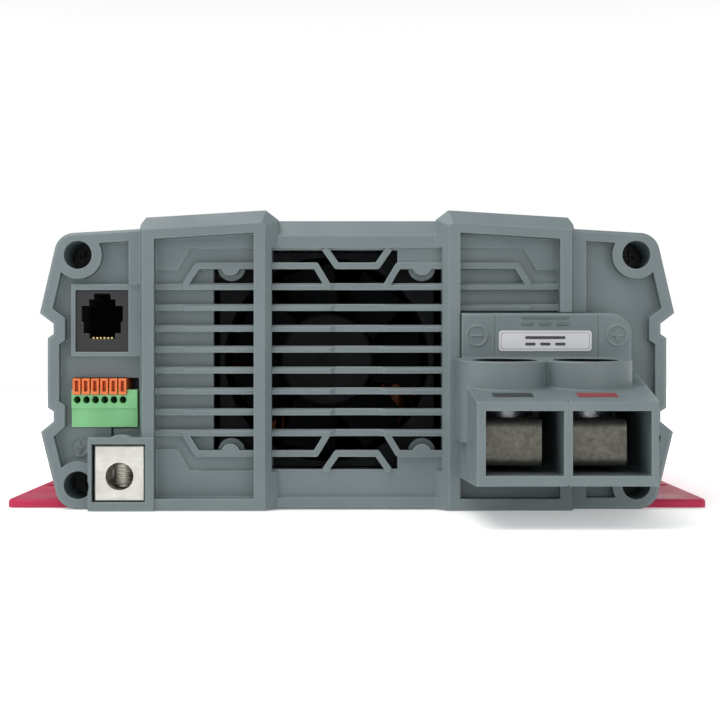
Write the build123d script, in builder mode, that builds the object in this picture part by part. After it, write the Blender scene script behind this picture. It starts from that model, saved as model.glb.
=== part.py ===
"""Mobile 12 V sine-wave power inverter: flanged tray, finned shell, two end bezels and all that they hold.

Frame: +X to the right seen from the DC end, +Y from the DC end to the AC end, +Z up.
The origin is the centre of the footprint at the height of the mounting surface. Millimetres.
"""
from build123d import *
import os

os.makedirs("parts", exist_ok=True)

# ---------------------------------------------------------------- driving dimensions
LENGTH = 342.0                      # over the DC terminal shroud and the AC bezel
SHROUD_REACH = 42.0                 # how far the shroud stands out of the DC bezel
FRONT = SHROUD_REACH - LENGTH / 2   # y of the DC bezel's rib faces
BACK = LENGTH / 2                   # y of the AC bezel's rib faces
BEZEL_DEPTH = 28.0                  # both end bezels, front to back
FLOOR_DEPTH = 4.6                   # outer floor of the bays, behind the rib faces
TERRACE_DEPTH = 5.6                 # stepped floor between the bay's outer floor and its louvres
PANEL_DEPTH = 7.0                   # deepest floor of the bezels' recesses
PANEL_THICK = 3.0
COLUMN_SET = 3.5                    # the columns and the middle stand this far behind the rib faces
RIM = 3.2                           # moulded wall of the bezels

TRAY_HALF = 98.0                    # half width over the mounting flanges
TRAY_THICK = 2.3
TRAY_INSET = 8.0                    # the tray ends this far inside each bezel

MIDDLE_CREST_Z = 80.0              # top of the bezel between its ribs
# Right half of the bezel's outline, (x, z), from the bottom corner up to the middle of the top.
OUTLINE_HALF = [(82.3, 0), (87.5, 21.3), (84.0, 24.2), (84.0, 27.0), (85.6, 28.0), (85.6, 47.3),
                (84.0, 48.4), (84.0, 51.3), (87.8, 54.2), (82.7, 76.2), (60.0, 77.5),
                (22.0, MIDDLE_CREST_Z)]
BOTTOM_CORNER_R = 6.0
TOP_CORNER_R = 5.6
CORNER_X = (80, 83)                 # the outline's bottom and top corners lie between these
BAY_IN, BAY_OUT = 28.3, 55.7        # side walls of the two louvred bays
RIB_SIDE = 60.0                     # outer side of the rib blocks
MIDDLE_HALF = 23.5                  # half width of the middle bay
BAY_LOW_Z, MIDDLE_TOP_Z = 3.2, 72.2

SCREW_X, SCREW_TOP_Z, SCREW_LOW_Z = 77.2, 70.3, 6.6
WELL_R, WELL_BOSS_R = 3.9, 6.6
WELL_FLOOR = 19.0                   # depth at which the corner screws' heads sit
SCREW_R, SCREW_HEAD_R, SCREW_HEAD_H, SCREW_LENGTH = 1.7, 3.4, 2.6, 20.0
GAP = 0.3                           # moulding clearance between separate pieces

FAN_X = -8.5                        # axis of the 60 mm fan, at the grille's middle height
FAN_SIZE, FAN_DEPTH, FAN_PITCH = 60.0, 25.0, 50.0
FAN_FRONT = FRONT + PANEL_DEPTH + PANEL_THICK

SLAT_PITCH, SLAT_THICK, SLAT_LOW_Z, SLAT_COUNT = 5.78, 1.9, 21.1, 8
SLAT_BEVEL = 0.7
BAR_FRONT, BAR_BACK = 3.7, 7.0     # depths of the grille's bars
MID_Z = SLAT_LOW_Z + SLAT_PITCH * (SLAT_COUNT - 1) / 2      # the grille is symmetric about this height

TUBE_X = (39.0, 60.2)               # bolt wells of the two DC terminals
TUBE_Y = FRONT - 15.0
TERMINAL_W, TERMINAL_TOP, TERMINAL_LOW = 14.4, 26.6, 14.9


def station(y):
    """Sketch plane at y with +X to the right and +Z up; a negative extrusion runs towards the AC end."""
    return Plane.XZ.offset(-y)


def rect(x0, z0, x1, z1, mode=Mode.ADD):
    """Rectangle between two corners of the open sketch."""
    with Locations(((x0 + x1) / 2, (z0 + z1) / 2)):
        Rectangle(abs(x1 - x0), abs(z1 - z0), mode=mode)


def block(x0, y0, z0, x1, y1, z1, mode=Mode.ADD):
    """Box between two corners, in the open part."""
    with Locations(((x0 + x1) / 2, (y0 + y1) / 2, (z0 + z1) / 2)):
        Box(abs(x1 - x0), abs(y1 - y0), abs(z1 - z0), mode=mode)


def strip(start, end, width):
    """Straight bar of the given width between two points of the open sketch."""
    along = (Vector(*end) - Vector(*start)).normalized()
    side = Vector(-along.Y, along.X) * (width / 2)
    corners = [Vector(*start) + side, Vector(*end) + side, Vector(*end) - side, Vector(*start) - side]
    Polygon(*[(point.X, point.Y) for point in corners], align=None)


def mirrored(points):
    """Closed outline from its right half."""
    return points + [(-x, z) for x, z in reversed(points)]


def bezel_outline(inset=0.0):
    """Bezel outline with rounded corners, in the open sketch."""
    with BuildSketch(mode=Mode.PRIVATE) as face:
        Polygon(*mirrored(OUTLINE_HALF), align=None)
        for low_z, high_z, radius in ((-1, 1, BOTTOM_CORNER_R), (70, 80, TOP_CORNER_R)):
            points = face.vertices().filter_by_position(Axis.Y, low_z, high_z)
            right = points.filter_by_position(Axis.X, CORNER_X[0], CORNER_X[1])
            left = points.filter_by_position(Axis.X, -CORNER_X[1], -CORNER_X[0])
            fillet(right + left, radius)
        if inset:
            offset(amount=-inset, kind=Kind.INTERSECTION, mode=Mode.REPLACE)
    add(face.sketch)


def screw_places():
    """The four corner screws, (x, z)."""
    return [(x, z) for x in (-SCREW_X, SCREW_X) for z in (SCREW_LOW_Z, SCREW_TOP_Z)]


# ---------------------------------------------------------------- tray with mounting flanges
SLOT_X, SLOT_LENGTH, SLOT_W = 91.6, 9.0, 5.0
SLOT_INSET = 42.0                   # slot centres from each end of the tray
TRAY_CORNER_R = 3.0
TRAY_FRONT, TRAY_BACK = FRONT + TRAY_INSET, BACK - TRAY_INSET
SLOT_Y = (TRAY_FRONT + SLOT_INSET, TRAY_BACK - SLOT_INSET)
BOARD_Z = 9.0                       # underside of the main board
STANDOFF_R, STANDOFF_TAP_R = 3.5, 1.25
STANDOFF_PLACES = [(x, y) for x in (-67.0, 67.0) for y in (-76.0, 22.0, 120.0)]

with BuildPart() as base_tray:
    with BuildSketch():
        with Locations((0, (TRAY_FRONT + TRAY_BACK) / 2)):
            RectangleRounded(2 * TRAY_HALF, TRAY_BACK - TRAY_FRONT, TRAY_CORNER_R)
        with Locations(*[(side * SLOT_X, slot_y) for side in (-1, 1) for slot_y in SLOT_Y]):
            SlotOverall(SLOT_LENGTH, SLOT_W, mode=Mode.SUBTRACT)
        with Locations(*STANDOFF_PLACES):
            Circle(STANDOFF_TAP_R, mode=Mode.SUBTRACT)
    extrude(amount=TRAY_THICK)
    rim_edges = base_tray.faces().sort_by(Axis.Z)[-1].outer_wire().edges()
    fillet(rim_edges, TRAY_THICK * 0.45)
base_tray.part.label = "base_tray"
export_step(base_tray.part, "parts/base_tray.step")

# ---------------------------------------------------------------- finned shell
SHELL_INSET, SHELL_WALL = 1.4, 2.0
SHELL_FRONT, SHELL_BACK = FRONT + BEZEL_DEPTH, BACK - BEZEL_DEPTH
FIN_PITCH, FIN_W, FIN_H, FIN_COUNT = 6.4, 1.6, 3.4, 18
SHELL_TOP_Z = 75.6
PORT_R, PORT_BORE_R = 4.2, SCREW_R

with BuildPart() as case_shell:
    with BuildSketch(station(SHELL_FRONT)):
        bezel_outline(SHELL_INSET)
        rect(-90, SHELL_TOP_Z, 90, 90, mode=Mode.SUBTRACT)
        with GridLocations(FIN_PITCH, 1, FIN_COUNT, 1):
            with Locations((0, SHELL_TOP_Z + FIN_H / 2 - 0.5)):
                Rectangle(FIN_W, FIN_H + 1.0)
        with BuildSketch(mode=Mode.PRIVATE) as cavity:
            bezel_outline(SHELL_INSET + SHELL_WALL)
            rect(-90, SHELL_TOP_Z - SHELL_WALL, 90, 90, mode=Mode.SUBTRACT)
            rect(-SCREW_X, -1, SCREW_X, SCREW_LOW_Z)
            with Locations(*screw_places()):
                Circle(PORT_R, mode=Mode.SUBTRACT)
        add(cavity.sketch, mode=Mode.SUBTRACT)
        rect(-90, -1, 90, TRAY_THICK, mode=Mode.SUBTRACT)
        with Locations(*screw_places()):
            Circle(PORT_BORE_R, mode=Mode.SUBTRACT)
    extrude(amount=-(SHELL_BACK - SHELL_FRONT))
case_shell.part.label = "case_shell"
export_step(case_shell.part, "parts/case_shell.step")

# ---------------------------------------------------------------- shapes both end bezels share
RIB_PROFILE = [(RIB_SIDE, 0), (RIB_SIDE, 77.5), (58.3, 80.6), (25.2, 82.6), (21.8, MIDDLE_CREST_Z),
               (21.8, 0)]
RIB_TOP_CHAMFER, MIDDLE_CHAMFER, COLUMN_CHAMFER = 3.6, 4.4, 0.7
RIB_FACE_IN, RIB_FACE_OUT = 25.3, 58.9             # the flat rib face between its two slanted sides


def flip(points, side):
    """Outline on the right (side 1) or mirrored to the left (side -1)."""
    return [(side * x, z) for x, z in points]


def bezel_body():
    """Solid end bezel without recesses, facing the DC end, in the open part."""
    face_y = FRONT + COLUMN_SET
    with BuildSketch(station(face_y + COLUMN_CHAMFER)) as base:
        bezel_outline()
    extrude(base.sketch, amount=-(BEZEL_DEPTH - COLUMN_SET - COLUMN_CHAMFER))
    extrude(base.sketch, amount=COLUMN_CHAMFER, taper=45)
    brow_z = MIDDLE_CREST_Z - MIDDLE_CHAMFER
    with BuildSketch(Plane.YZ.offset(-30)) as brow:
        Polygon((face_y - 2, brow_z - 2), (face_y + MIDDLE_CHAMFER + 2, brow_z + MIDDLE_CHAMFER + 2),
                (face_y - 2, brow_z + MIDDLE_CHAMFER + 2), align=None)
    extrude(brow.sketch, amount=60, mode=Mode.SUBTRACT)
    for side in (-1, 1):
        with BuildSketch(station(FRONT)) as rib:
            Polygon(*flip(RIB_PROFILE, side), align=None)
        extrude(rib.sketch, amount=-BEZEL_DEPTH)
    rib_edges = edges().filter_by_position(Axis.Y, FRONT - 0.01, FRONT + 0.01)
    chamfer(rib_edges.filter_by_position(Axis.Z, 81.0, 82.0), RIB_TOP_CHAMFER)
    for side in (-1, 1):
        with BuildSketch(Plane.XY.offset(-1)) as slants:
            outer = [(RIB_SIDE + 1, FRONT - 1), (RIB_FACE_OUT, FRONT - 1), (RIB_FACE_OUT, FRONT),
                     (RIB_SIDE, FRONT + COLUMN_SET), (RIB_SIDE + 1, FRONT + COLUMN_SET)]
            inner = [(20, FRONT - 1), (RIB_FACE_IN, FRONT - 1), (RIB_FACE_IN, FRONT),
                     (21.8, FRONT + COLUMN_SET), (20, FRONT + COLUMN_SET)]
            Polygon(*flip(outer, side), align=None)
            Polygon(*flip(inner, side), align=None)
        extrude(slants.sketch, amount=90, mode=Mode.SUBTRACT)


def hollow_back(sill_depth):
    """Open the bezel's back: a skirt that takes the shell, four screw posts and the tray's notch."""
    with BuildSketch(station(FRONT + PANEL_DEPTH + PANEL_THICK)) as hollow:
        bezel_outline(SHELL_INSET - GAP)
        rect(-90, SHELL_TOP_Z - SHELL_WALL, 90, 90, mode=Mode.SUBTRACT)
        with Locations(*screw_places()):
            Circle(PORT_R, mode=Mode.SUBTRACT)
    extrude(hollow.sketch, amount=-BEZEL_DEPTH, mode=Mode.SUBTRACT)
    block(-90, FRONT + sill_depth, -1, 90, BACK, TRAY_THICK + GAP / 2, mode=Mode.SUBTRACT)


def upside_down(points):
    """Outline mirrored about the grille's middle height."""
    return [(x, 2 * MID_Z - z) for x, z in reversed(points)]


def cut_outline(points, depth, side=1):
    """Recess of the given outline from the rib faces down to a depth."""
    with BuildSketch(station(FRONT - 1)) as outline:
        Polygon(*flip(points, side), align=None)
    extrude(outline.sketch, amount=-(depth + 1), mode=Mode.SUBTRACT)


BAY_MOUTH = [(BAY_IN, BAY_LOW_Z), (BAY_OUT, BAY_LOW_Z), (BAY_OUT, 74.5), (BAY_IN, 76.2)]
TERRACE_TOP = [(BAY_OUT, 66.1), (49.5, 66.1), (46.2, 72.1), (BAY_IN, 72.1)]
WELL_TOP = [(BAY_OUT, 62.1), (48.4, 62.1), (44.6, 68.2), (BAY_IN, 68.2)]
SLAT_END, SLAT_STEP_X, SLAT_STEP = 56.0, 48.0, 0.4       # the slats' outer stretch is set back a little
BAR_W, BAND_Z, LEG_FOOT_Z = 1.8, 67.3, 61.6
LEG_TOP, LEG_FOOT = 44.2, 47.8      # the outer bars lean from the band down to the first slat
ARM_TOP, ARM_FOOT = 11.4, 8.0       # and so do the bars of the middle bay
HOOD_TOP, HOOD_FOOT = 9.0, 5.6      # trapezoid that hangs from the middle bay's edge
KINK_IN, KINK_OUT, KINK_DEEP, ROWS_LOW_Z = 6.0, 7.6, 1.0, 18.5
POST_X, POST_Z, POST_R, POST_CAP_R = 26.5, 25.6, 3.75, 2.7


def recess_bays():
    """Both louvred bays and the middle bay, down to their floors."""
    for side in (-1, 1):
        cut_outline(BAY_MOUTH, FLOOR_DEPTH, side)
        cut_outline(TERRACE_TOP + upside_down(TERRACE_TOP), TERRACE_DEPTH, side)
        cut_outline(WELL_TOP + upside_down(WELL_TOP), PANEL_DEPTH, side)
    cut_outline([(-21.8, BAY_LOW_Z), (21.8, BAY_LOW_Z), (21.8, 12), (-21.8, 12)], FLOOR_DEPTH)
    low_z = 2 * MID_Z - MIDDLE_TOP_Z
    cut_outline([(-MIDDLE_HALF, low_z), (MIDDLE_HALF, low_z), (MIDDLE_HALF, MIDDLE_TOP_Z),
                 (-MIDDLE_HALF, MIDDLE_TOP_Z)], FLOOR_DEPTH)


def grille_bars():
    """Slats with a bevelled upper edge, the bands above and below them and the leaning bars."""
    for row in range(SLAT_COUNT):
        top = SLAT_LOW_Z + row * SLAT_PITCH + SLAT_THICK / 2
        low, front, back = top - SLAT_THICK, FRONT + BAR_FRONT, FRONT + BAR_BACK
        with BuildSketch(Plane.YZ.offset(-SLAT_END)) as slat:
            Polygon((front, low), (back, low), (back, top), (front + SLAT_BEVEL, top),
                    (front, top - SLAT_BEVEL), align=None)
        extrude(slat.sketch, amount=2 * SLAT_END)
    with BuildSketch(station(FRONT + BAR_FRONT)) as lattice:
        for side in (-1, 1):
            for turn in (1, -1):
                band_z, slat_z, edge_z = (
                    MID_Z + turn * (z - MID_Z) for z in (BAND_Z, LEG_FOOT_Z, MIDDLE_TOP_Z)
                )
                strip((side * BAY_IN, band_z), (side * LEG_TOP, band_z), BAR_W)
                strip((side * LEG_TOP, band_z), (side * LEG_FOOT, slat_z), BAR_W)
                strip((side * ARM_TOP, band_z), (side * (MIDDLE_HALF + 1), band_z), BAR_W)
                strip((side * ARM_TOP, band_z), (side * ARM_FOOT, slat_z), BAR_W)
                strip((side * HOOD_TOP, edge_z), (side * HOOD_FOOT, band_z), BAR_W)
                strip((-HOOD_FOOT, band_z), (HOOD_FOOT, band_z), BAR_W)
                with Locations(*[(side * x, band_z) for x in (LEG_TOP, ARM_TOP, HOOD_FOOT)]):
                    Circle(BAR_W / 2)
    extrude(lattice.sketch, amount=-(BAR_BACK - BAR_FRONT))
    for side in (-1, 1):
        for turn in (1, -1):
            with BuildSketch(station(FRONT + BAR_FRONT)) as cap:
                with Locations((FAN_X + side * POST_X, MID_Z + turn * (BAND_Z - MID_Z))):
                    Circle(POST_CAP_R)
                keep_z = sorted((MID_Z, MID_Z + turn * (BAND_Z + BAR_W / 2 - MID_Z)))
                rect(-BAY_OUT, keep_z[0], BAY_OUT, keep_z[1], mode=Mode.INTERSECT)
            extrude(cap.sketch, amount=-(BAR_BACK - BAR_FRONT))


def trim_slats():
    """The slats' outer ends and their middle stretch are set back."""
    front = FRONT + BAR_FRONT
    for side in (-1, 1):
        block(side * SLAT_STEP_X, front - 1, ROWS_LOW_Z, side * BAY_OUT, front + SLAT_STEP,
              2 * MID_Z - ROWS_LOW_Z, mode=Mode.SUBTRACT)
    with BuildSketch(Plane.XY.offset(ROWS_LOW_Z)) as kink:
        Polygon((-KINK_OUT, front), (-KINK_OUT, front - 1), (KINK_OUT, front - 1), (KINK_OUT, front),
                (KINK_IN, front + KINK_DEEP), (-KINK_IN, front + KINK_DEEP), align=None)
    extrude(kink.sketch, amount=2 * (MID_Z - ROWS_LOW_Z), mode=Mode.SUBTRACT)


# ---------------------------------------------------------------- DC end bezel
JACK_FRAME, JACK_HOLE = (-79.2, 42.3, -60.0, 62.2), (-78.0, 43.5, -63.3, 60.6)
PLUG_HOLE = (-79.3, 22.5, -60.8, 36.3)
LUG_FRAME, LUG_HOLE = (-73.6, 0, -55.6, 20.0), (-72.6, 2.4, -57.9, 18.2)
LUG_FRAME_DEPTH = -1.0
SHROUD_BAY = (28.3, 10.2, 75.3, 54.3)
WINDOW_LEFT, WINDOW_TOP_Z = -40.0, 67.6
ROW_END = 11.2                      # the top and bottom rows of the middle bay are closed past here
LUG_X, LUG_BORE_Z, LUG_BORE_R = -65.0, 9.4, 3.8
LUG_SCREW_R, LUG_SCREW_Y = 3.0, FRONT + 6.5
FAN_PILOT_R, FAN_PILOT_DEEP = 1.5, 2.4
EARTH_MARK, MARK_R, MARK_W, MARK_H = (-77.2, 16.9), 2.65, 0.35, 0.35

with BuildPart() as dc_end_bezel:
    bezel_body()
    recess_bays()
    # Corner columns: deep recesses round the screw bosses and the two raised frames.
    with BuildSketch(station(FRONT - 2)) as columns:
        bezel_outline(RIM)
        rect(-RIB_SIDE, -1, RIB_SIDE + 3.3, 90, mode=Mode.SUBTRACT)
        rect(-63.1, JACK_FRAME[3], -RIB_SIDE, 90, mode=Mode.SUBTRACT)
        with Locations(*screw_places()):
            Circle(WELL_BOSS_R, mode=Mode.SUBTRACT)
        rect(*JACK_FRAME, mode=Mode.SUBTRACT)
        rect(*LUG_FRAME, mode=Mode.SUBTRACT)
    extrude(columns.sketch, amount=-(PANEL_DEPTH + 2), mode=Mode.SUBTRACT)
    with BuildSketch(station(FRONT + COLUMN_SET - 1)):
        rect(*JACK_FRAME)
    extrude(amount=-1.8, mode=Mode.SUBTRACT)
    # The earth lug's frame stands proud, with a shallow arch over the lug.
    with BuildSketch(station(FRONT + LUG_FRAME_DEPTH)):
        rect(*LUG_FRAME)
        with Locations(((LUG_FRAME[0] + LUG_FRAME[2]) / 2, LUG_FRAME[3] - 6.4)):
            Ellipse(6.5, 7.2)
        rect(*LUG_HOLE, mode=Mode.SUBTRACT)
    extrude(amount=-(PANEL_DEPTH - LUG_FRAME_DEPTH))
    # Air window, then the bars that cross it.
    with BuildSketch(station(FRONT + FLOOR_DEPTH - 1)):
        rect(WINDOW_LEFT, 2 * MID_Z - WINDOW_TOP_Z, MIDDLE_HALF, WINDOW_TOP_Z)
        rect(-MIDDLE_HALF, 2 * MID_Z - MIDDLE_TOP_Z + 0.5, ROW_END, MIDDLE_TOP_Z - 0.5)
    extrude(amount=-BEZEL_DEPTH, mode=Mode.SUBTRACT)
    grille_bars()
    trim_slats()
    with BuildSketch(station(FRONT + BAR_BACK)):
        with Locations((FAN_X, MID_Z)):
            with GridLocations(2 * POST_X, 2 * POST_Z, 2, 2):
                Circle(POST_R)
    extrude(amount=-(PANEL_DEPTH + PANEL_THICK - BAR_BACK))
    # Room for the terminal shroud, holes for the sockets, the terminals and the earth lug.
    with BuildSketch(station(FRONT - 2)):
        rect(*SHROUD_BAY)
    extrude(amount=-(PANEL_DEPTH + 2), mode=Mode.SUBTRACT)
    with BuildSketch(station(FRONT - 2)):
        rect(*JACK_HOLE)
        rect(*PLUG_HOLE)
        rect(*LUG_HOLE)
        with Locations(*[(x, (TERMINAL_TOP + TERMINAL_LOW) / 2) for x in TUBE_X]):
            Rectangle(TERMINAL_W + 1, TERMINAL_TOP - TERMINAL_LOW + 1)
    extrude(amount=-(BEZEL_DEPTH + 2), mode=Mode.SUBTRACT)
    hollow_back(TRAY_INSET)
    with BuildSketch(station(FRONT - 2)):
        with Locations(*screw_places()):
            Circle(WELL_R)
    extrude(amount=-(WELL_FLOOR + 2), mode=Mode.SUBTRACT)
    with BuildSketch(station(FRONT - 2)):
        with Locations(*screw_places()):
            Circle(SCREW_R + 0.2)
    extrude(amount=-(BEZEL_DEPTH + 4), mode=Mode.SUBTRACT)
    with BuildSketch(station(FAN_FRONT)):
        with Locations((FAN_X, MID_Z)):
            with GridLocations(FAN_PITCH, FAN_PITCH, 2, 2):
                Circle(FAN_PILOT_R)
    extrude(amount=FAN_PILOT_DEEP, mode=Mode.SUBTRACT)
    with Locations((LUG_X, LUG_SCREW_Y, LUG_FRAME[3])):
        Cylinder(LUG_SCREW_R + 0.6, 8, mode=Mode.SUBTRACT)
    with BuildSketch(station(FRONT + PANEL_DEPTH - MARK_H)):
        with Locations(EARTH_MARK):
            Circle(MARK_R)
            Circle(MARK_R - MARK_W, mode=Mode.SUBTRACT)
            for width, height in ((2.6, 0.2), (1.7, -0.6), (0.8, -1.4)):
                with Locations((0, height)):
                    Rectangle(width, MARK_W)
            with Locations((0, 1.0)):
                Rectangle(MARK_W, 1.8)
    extrude(amount=-MARK_H - 0.5)
dc_end_bezel.part.label = "dc_end_bezel"
export_step(dc_end_bezel.part, "parts/dc_end_bezel.step")

# ---------------------------------------------------------------- DC terminal shroud
PANEL_STAND = 1.5                   # the shroud's panel stands this far ahead of the ribs
SHROUD_FRONT = FRONT - SHROUD_REACH
SHROUD_PLAN = [(27.9, FRONT), (29.3, SHROUD_FRONT), (73.9, SHROUD_FRONT), (76.6, FRONT)]
ROOF_FRONT_Z, ROOF_BACK_Z = 31.4, 37.6          # the roof climbs towards the bezel
SHROUD_SIDE = [(FRONT, 9.2), (SHROUD_FRONT, 10.6), (SHROUD_FRONT, ROOF_FRONT_Z), (FRONT, ROOF_BACK_Z)]
TUBE_R, TUBE_BORE_R = 12.1, 8.7
TUBE_TOP_FRONT, TUBE_TOP = 40.9, 41.9           # the wells' rims climb too
MOUTHS = ((31.5, 50.7), (52.8, 72.1))               # the two cable openings, left and right edges
MOUTH_LOW, MOUTH_TOP = 13.2, 29.1
PANEL_RIGHT, PANEL_TOP, PANEL_CORNER_R = 75.0, 54.1, 5.7
SEAMS, SEAM_W, SEAM_DEEP = (37.6, 65.8), 0.5, 0.25
MINUS_MARK, PLUS_MARK, POLE_R = (32.7, 47.9), (70.9, 48.0), 2.9
GROOVE_X, GROOVE_W, GROOVE_DEEP, GROOVE_LIP, GROOVE_LENGTH = 51.75, 1.6, 0.8, 0.4, 3.0

with BuildPart() as dc_terminal_shroud:
    with BuildSketch(Plane.XY.offset(9)):
        Polygon(*SHROUD_PLAN, align=None)
    extrude(amount=30)
    with BuildSketch(Plane.YZ.offset(20)):
        Polygon(*SHROUD_SIDE, align=None)
    extrude(amount=60, mode=Mode.INTERSECT)
    front_edges = edges().filter_by_position(Axis.Y, SHROUD_FRONT - 0.01, SHROUD_FRONT + 0.01)
    fillet(front_edges, 0.6)
    with BuildSketch(Plane.XY.offset(20)):
        with Locations(*[(x, TUBE_Y) for x in TUBE_X]):
            Circle(TUBE_R)
        for x in TUBE_X:
            rect(x - TUBE_R, TUBE_Y, x + TUBE_R, FRONT)
    extrude(amount=TUBE_TOP - 20)
    with BuildSketch(Plane.YZ.offset(20)):
        Polygon((TUBE_Y - TUBE_R, TUBE_TOP_FRONT), (FRONT - PANEL_STAND, TUBE_TOP),
                (FRONT - PANEL_STAND, TUBE_TOP + 1), (TUBE_Y - TUBE_R, TUBE_TOP + 1), align=None)
    extrude(amount=60, mode=Mode.SUBTRACT)
    with BuildSketch(station(FRONT - PANEL_STAND)):
        rect(BAY_IN + GAP, SHROUD_BAY[1] + GAP, PANEL_RIGHT, PANEL_TOP)
        fillet(vertices().sort_by(Axis.Y)[-2:].sort_by(Axis.X)[-1], PANEL_CORNER_R)
    extrude(amount=-(PANEL_DEPTH + PANEL_STAND))
    panel_edges = edges().filter_by_position(Axis.Y, FRONT - PANEL_STAND - 0.01, FRONT - PANEL_STAND + 0.01)
    chamfer(panel_edges.filter_by_position(Axis.Z, 50, 55), 0.5)
    with BuildSketch(station(SHROUD_FRONT - 1)):
        for left, right in MOUTHS:
            rect(left, MOUTH_LOW, right, MOUTH_TOP)
    extrude(amount=-(SHROUD_REACH + PANEL_DEPTH + 2), mode=Mode.SUBTRACT)
    with Locations(*[(x, TUBE_Y, TUBE_TOP) for x in TUBE_X]):
        Cylinder(TUBE_BORE_R, 2 * (TUBE_TOP - MOUTH_TOP) + 2, mode=Mode.SUBTRACT)
    # Hollow behind the panel, open to the back, so that its wall stays even.
    block(32, FRONT + 2, 43, PANEL_RIGHT - 4, FRONT + PANEL_DEPTH + 1, PANEL_TOP - 3, mode=Mode.SUBTRACT)
    for seam_x in SEAMS:
        block(seam_x - SEAM_W / 2, FRONT - PANEL_STAND - 1, 42, seam_x + SEAM_W / 2,
              FRONT - PANEL_STAND + SEAM_DEEP, PANEL_TOP, mode=Mode.SUBTRACT)
    for groove_z, turn in ((ROOF_FRONT_Z + 0.2, 1), (10.5, -1)):
        with BuildSketch(station(SHROUD_FRONT - 1)):
            with Locations((GROOVE_X, groove_z)):
                Polygon((-GROOVE_W / 2, turn * GROOVE_LIP), (GROOVE_W / 2, turn * GROOVE_LIP),
                        (0, -turn * GROOVE_DEEP), align=None)
        extrude(amount=-GROOVE_LENGTH, mode=Mode.SUBTRACT)
    with BuildSketch(station(FRONT - PANEL_STAND - MARK_H)):
        with Locations(MINUS_MARK, PLUS_MARK):
            Circle(POLE_R)
            Circle(POLE_R - MARK_W, mode=Mode.SUBTRACT)
            Rectangle(3.2, MARK_W)
        with Locations(PLUS_MARK):
            Rectangle(MARK_W, 3.2)
    extrude(amount=-MARK_H - 0.3)
dc_terminal_shroud.part.label = "dc_terminal_shroud"
export_step(dc_terminal_shroud.part, "parts/dc_terminal_shroud.step")

LABEL = (38.7, 43.7, 64.0, 49.3)
LABEL_THICK, LABEL_CORNER_R = 0.2, 0.9
with BuildPart() as voltage_label:
    with BuildSketch(station(FRONT - PANEL_STAND)):
        with Locations(((LABEL[0] + LABEL[2]) / 2, (LABEL[1] + LABEL[3]) / 2)):
            RectangleRounded(LABEL[2] - LABEL[0], LABEL[3] - LABEL[1], LABEL_CORNER_R)
    extrude(amount=LABEL_THICK)
voltage_label.part.label = "voltage_label"
export_step(voltage_label.part, "parts/voltage_label.step")

# Painted bars on the shroud's roof: black over the negative mouth, red over the positive one.
MARKER_Y, MARKER_L, MARKER_W = FRONT - 31.0, 10.0, 5.0
ROOF_SLOPE = (ROOF_BACK_Z - ROOF_FRONT_Z) / SHROUD_REACH
for index, node in enumerate(("negative_marker", "positive_marker")):
    with BuildPart() as marker:
        with BuildSketch(Plane.YZ.offset(TUBE_X[index] - MARKER_L / 2)):
            near_z = ROOF_FRONT_Z + ROOF_SLOPE * (MARKER_Y - SHROUD_FRONT)
            far_z = near_z - ROOF_SLOPE * MARKER_W
            Polygon((MARKER_Y, near_z), (MARKER_Y, near_z + 0.15), (MARKER_Y - MARKER_W, far_z + 0.15),
                    (MARKER_Y - MARKER_W, far_z), align=None)
        extrude(amount=MARKER_L)
    marker.part.label = node
    export_step(marker.part, f"parts/{node}.step")

# ---------------------------------------------------------------- DC terminals and their bolts
BAR_T, BEND_R = 3.0, 2.2            # tinned copper bar and its outer bend
TERMINAL_FRONT, TERMINAL_END = FRONT - 34.5, FRONT + 34.0
FOOT_END = FRONT - 12.0
BOLT_R, BOLT_HEAD_AF, BOLT_HEAD_H = 4.0, 13.0, 5.3
WASHER_R, WASHER_T, LOCK_R, LOCK_T, NUT_H = 7.2, 1.6, 7.0, 2.0, 5.0

for index, node in enumerate(("negative_terminal", "positive_terminal")):
    with BuildPart() as terminal:
        with BuildSketch(Plane.YZ.offset(TUBE_X[index] - TERMINAL_W / 2)):
            Polygon((TERMINAL_END, TERMINAL_TOP), (TERMINAL_FRONT, TERMINAL_TOP),
                    (TERMINAL_FRONT, TERMINAL_LOW), (FOOT_END, TERMINAL_LOW),
                    (FOOT_END, TERMINAL_LOW + BAR_T), (TERMINAL_FRONT + BAR_T, TERMINAL_LOW + BAR_T),
                    (TERMINAL_FRONT + BAR_T, TERMINAL_TOP - BAR_T), (TERMINAL_END, TERMINAL_TOP - BAR_T),
                    align=None)
            fillet(vertices().sort_by(Axis.X)[:2], BEND_R)
        extrude(amount=TERMINAL_W)
        with Locations((TUBE_X[index], TUBE_Y, TERMINAL_TOP)):
            Cylinder(BOLT_R, 3 * BAR_T, mode=Mode.SUBTRACT)
        with Locations((TUBE_X[index], TERMINAL_END - 6, TERMINAL_TOP)):
            Cylinder(2.1, 3 * BAR_T, mode=Mode.SUBTRACT)
    terminal.part.label = node
    export_step(terminal.part, f"parts/{node}.step")

with BuildPart() as terminal_washers:
    with Locations(*[(x, TUBE_Y, TERMINAL_TOP + WASHER_T / 2) for x in TUBE_X]):
        Cylinder(WASHER_R, WASHER_T)
        Cylinder(BOLT_R, WASHER_T, mode=Mode.SUBTRACT)
terminal_washers.part.label = "terminal_washers"
export_step(terminal_washers.part, "parts/terminal_washers.step")

with BuildPart() as terminal_lock_washers:
    with Locations(*[(x, TUBE_Y, TERMINAL_TOP + WASHER_T + LOCK_T / 2) for x in TUBE_X]):
        Cylinder(LOCK_R, LOCK_T)
        Cylinder(BOLT_R, LOCK_T, mode=Mode.SUBTRACT)
        with Locations((LOCK_R - 1, 0, 0)):
            Box(5, 0.8, LOCK_T, mode=Mode.SUBTRACT)
terminal_lock_washers.part.label = "terminal_lock_washers"
export_step(terminal_lock_washers.part, "parts/terminal_lock_washers.step")

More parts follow.
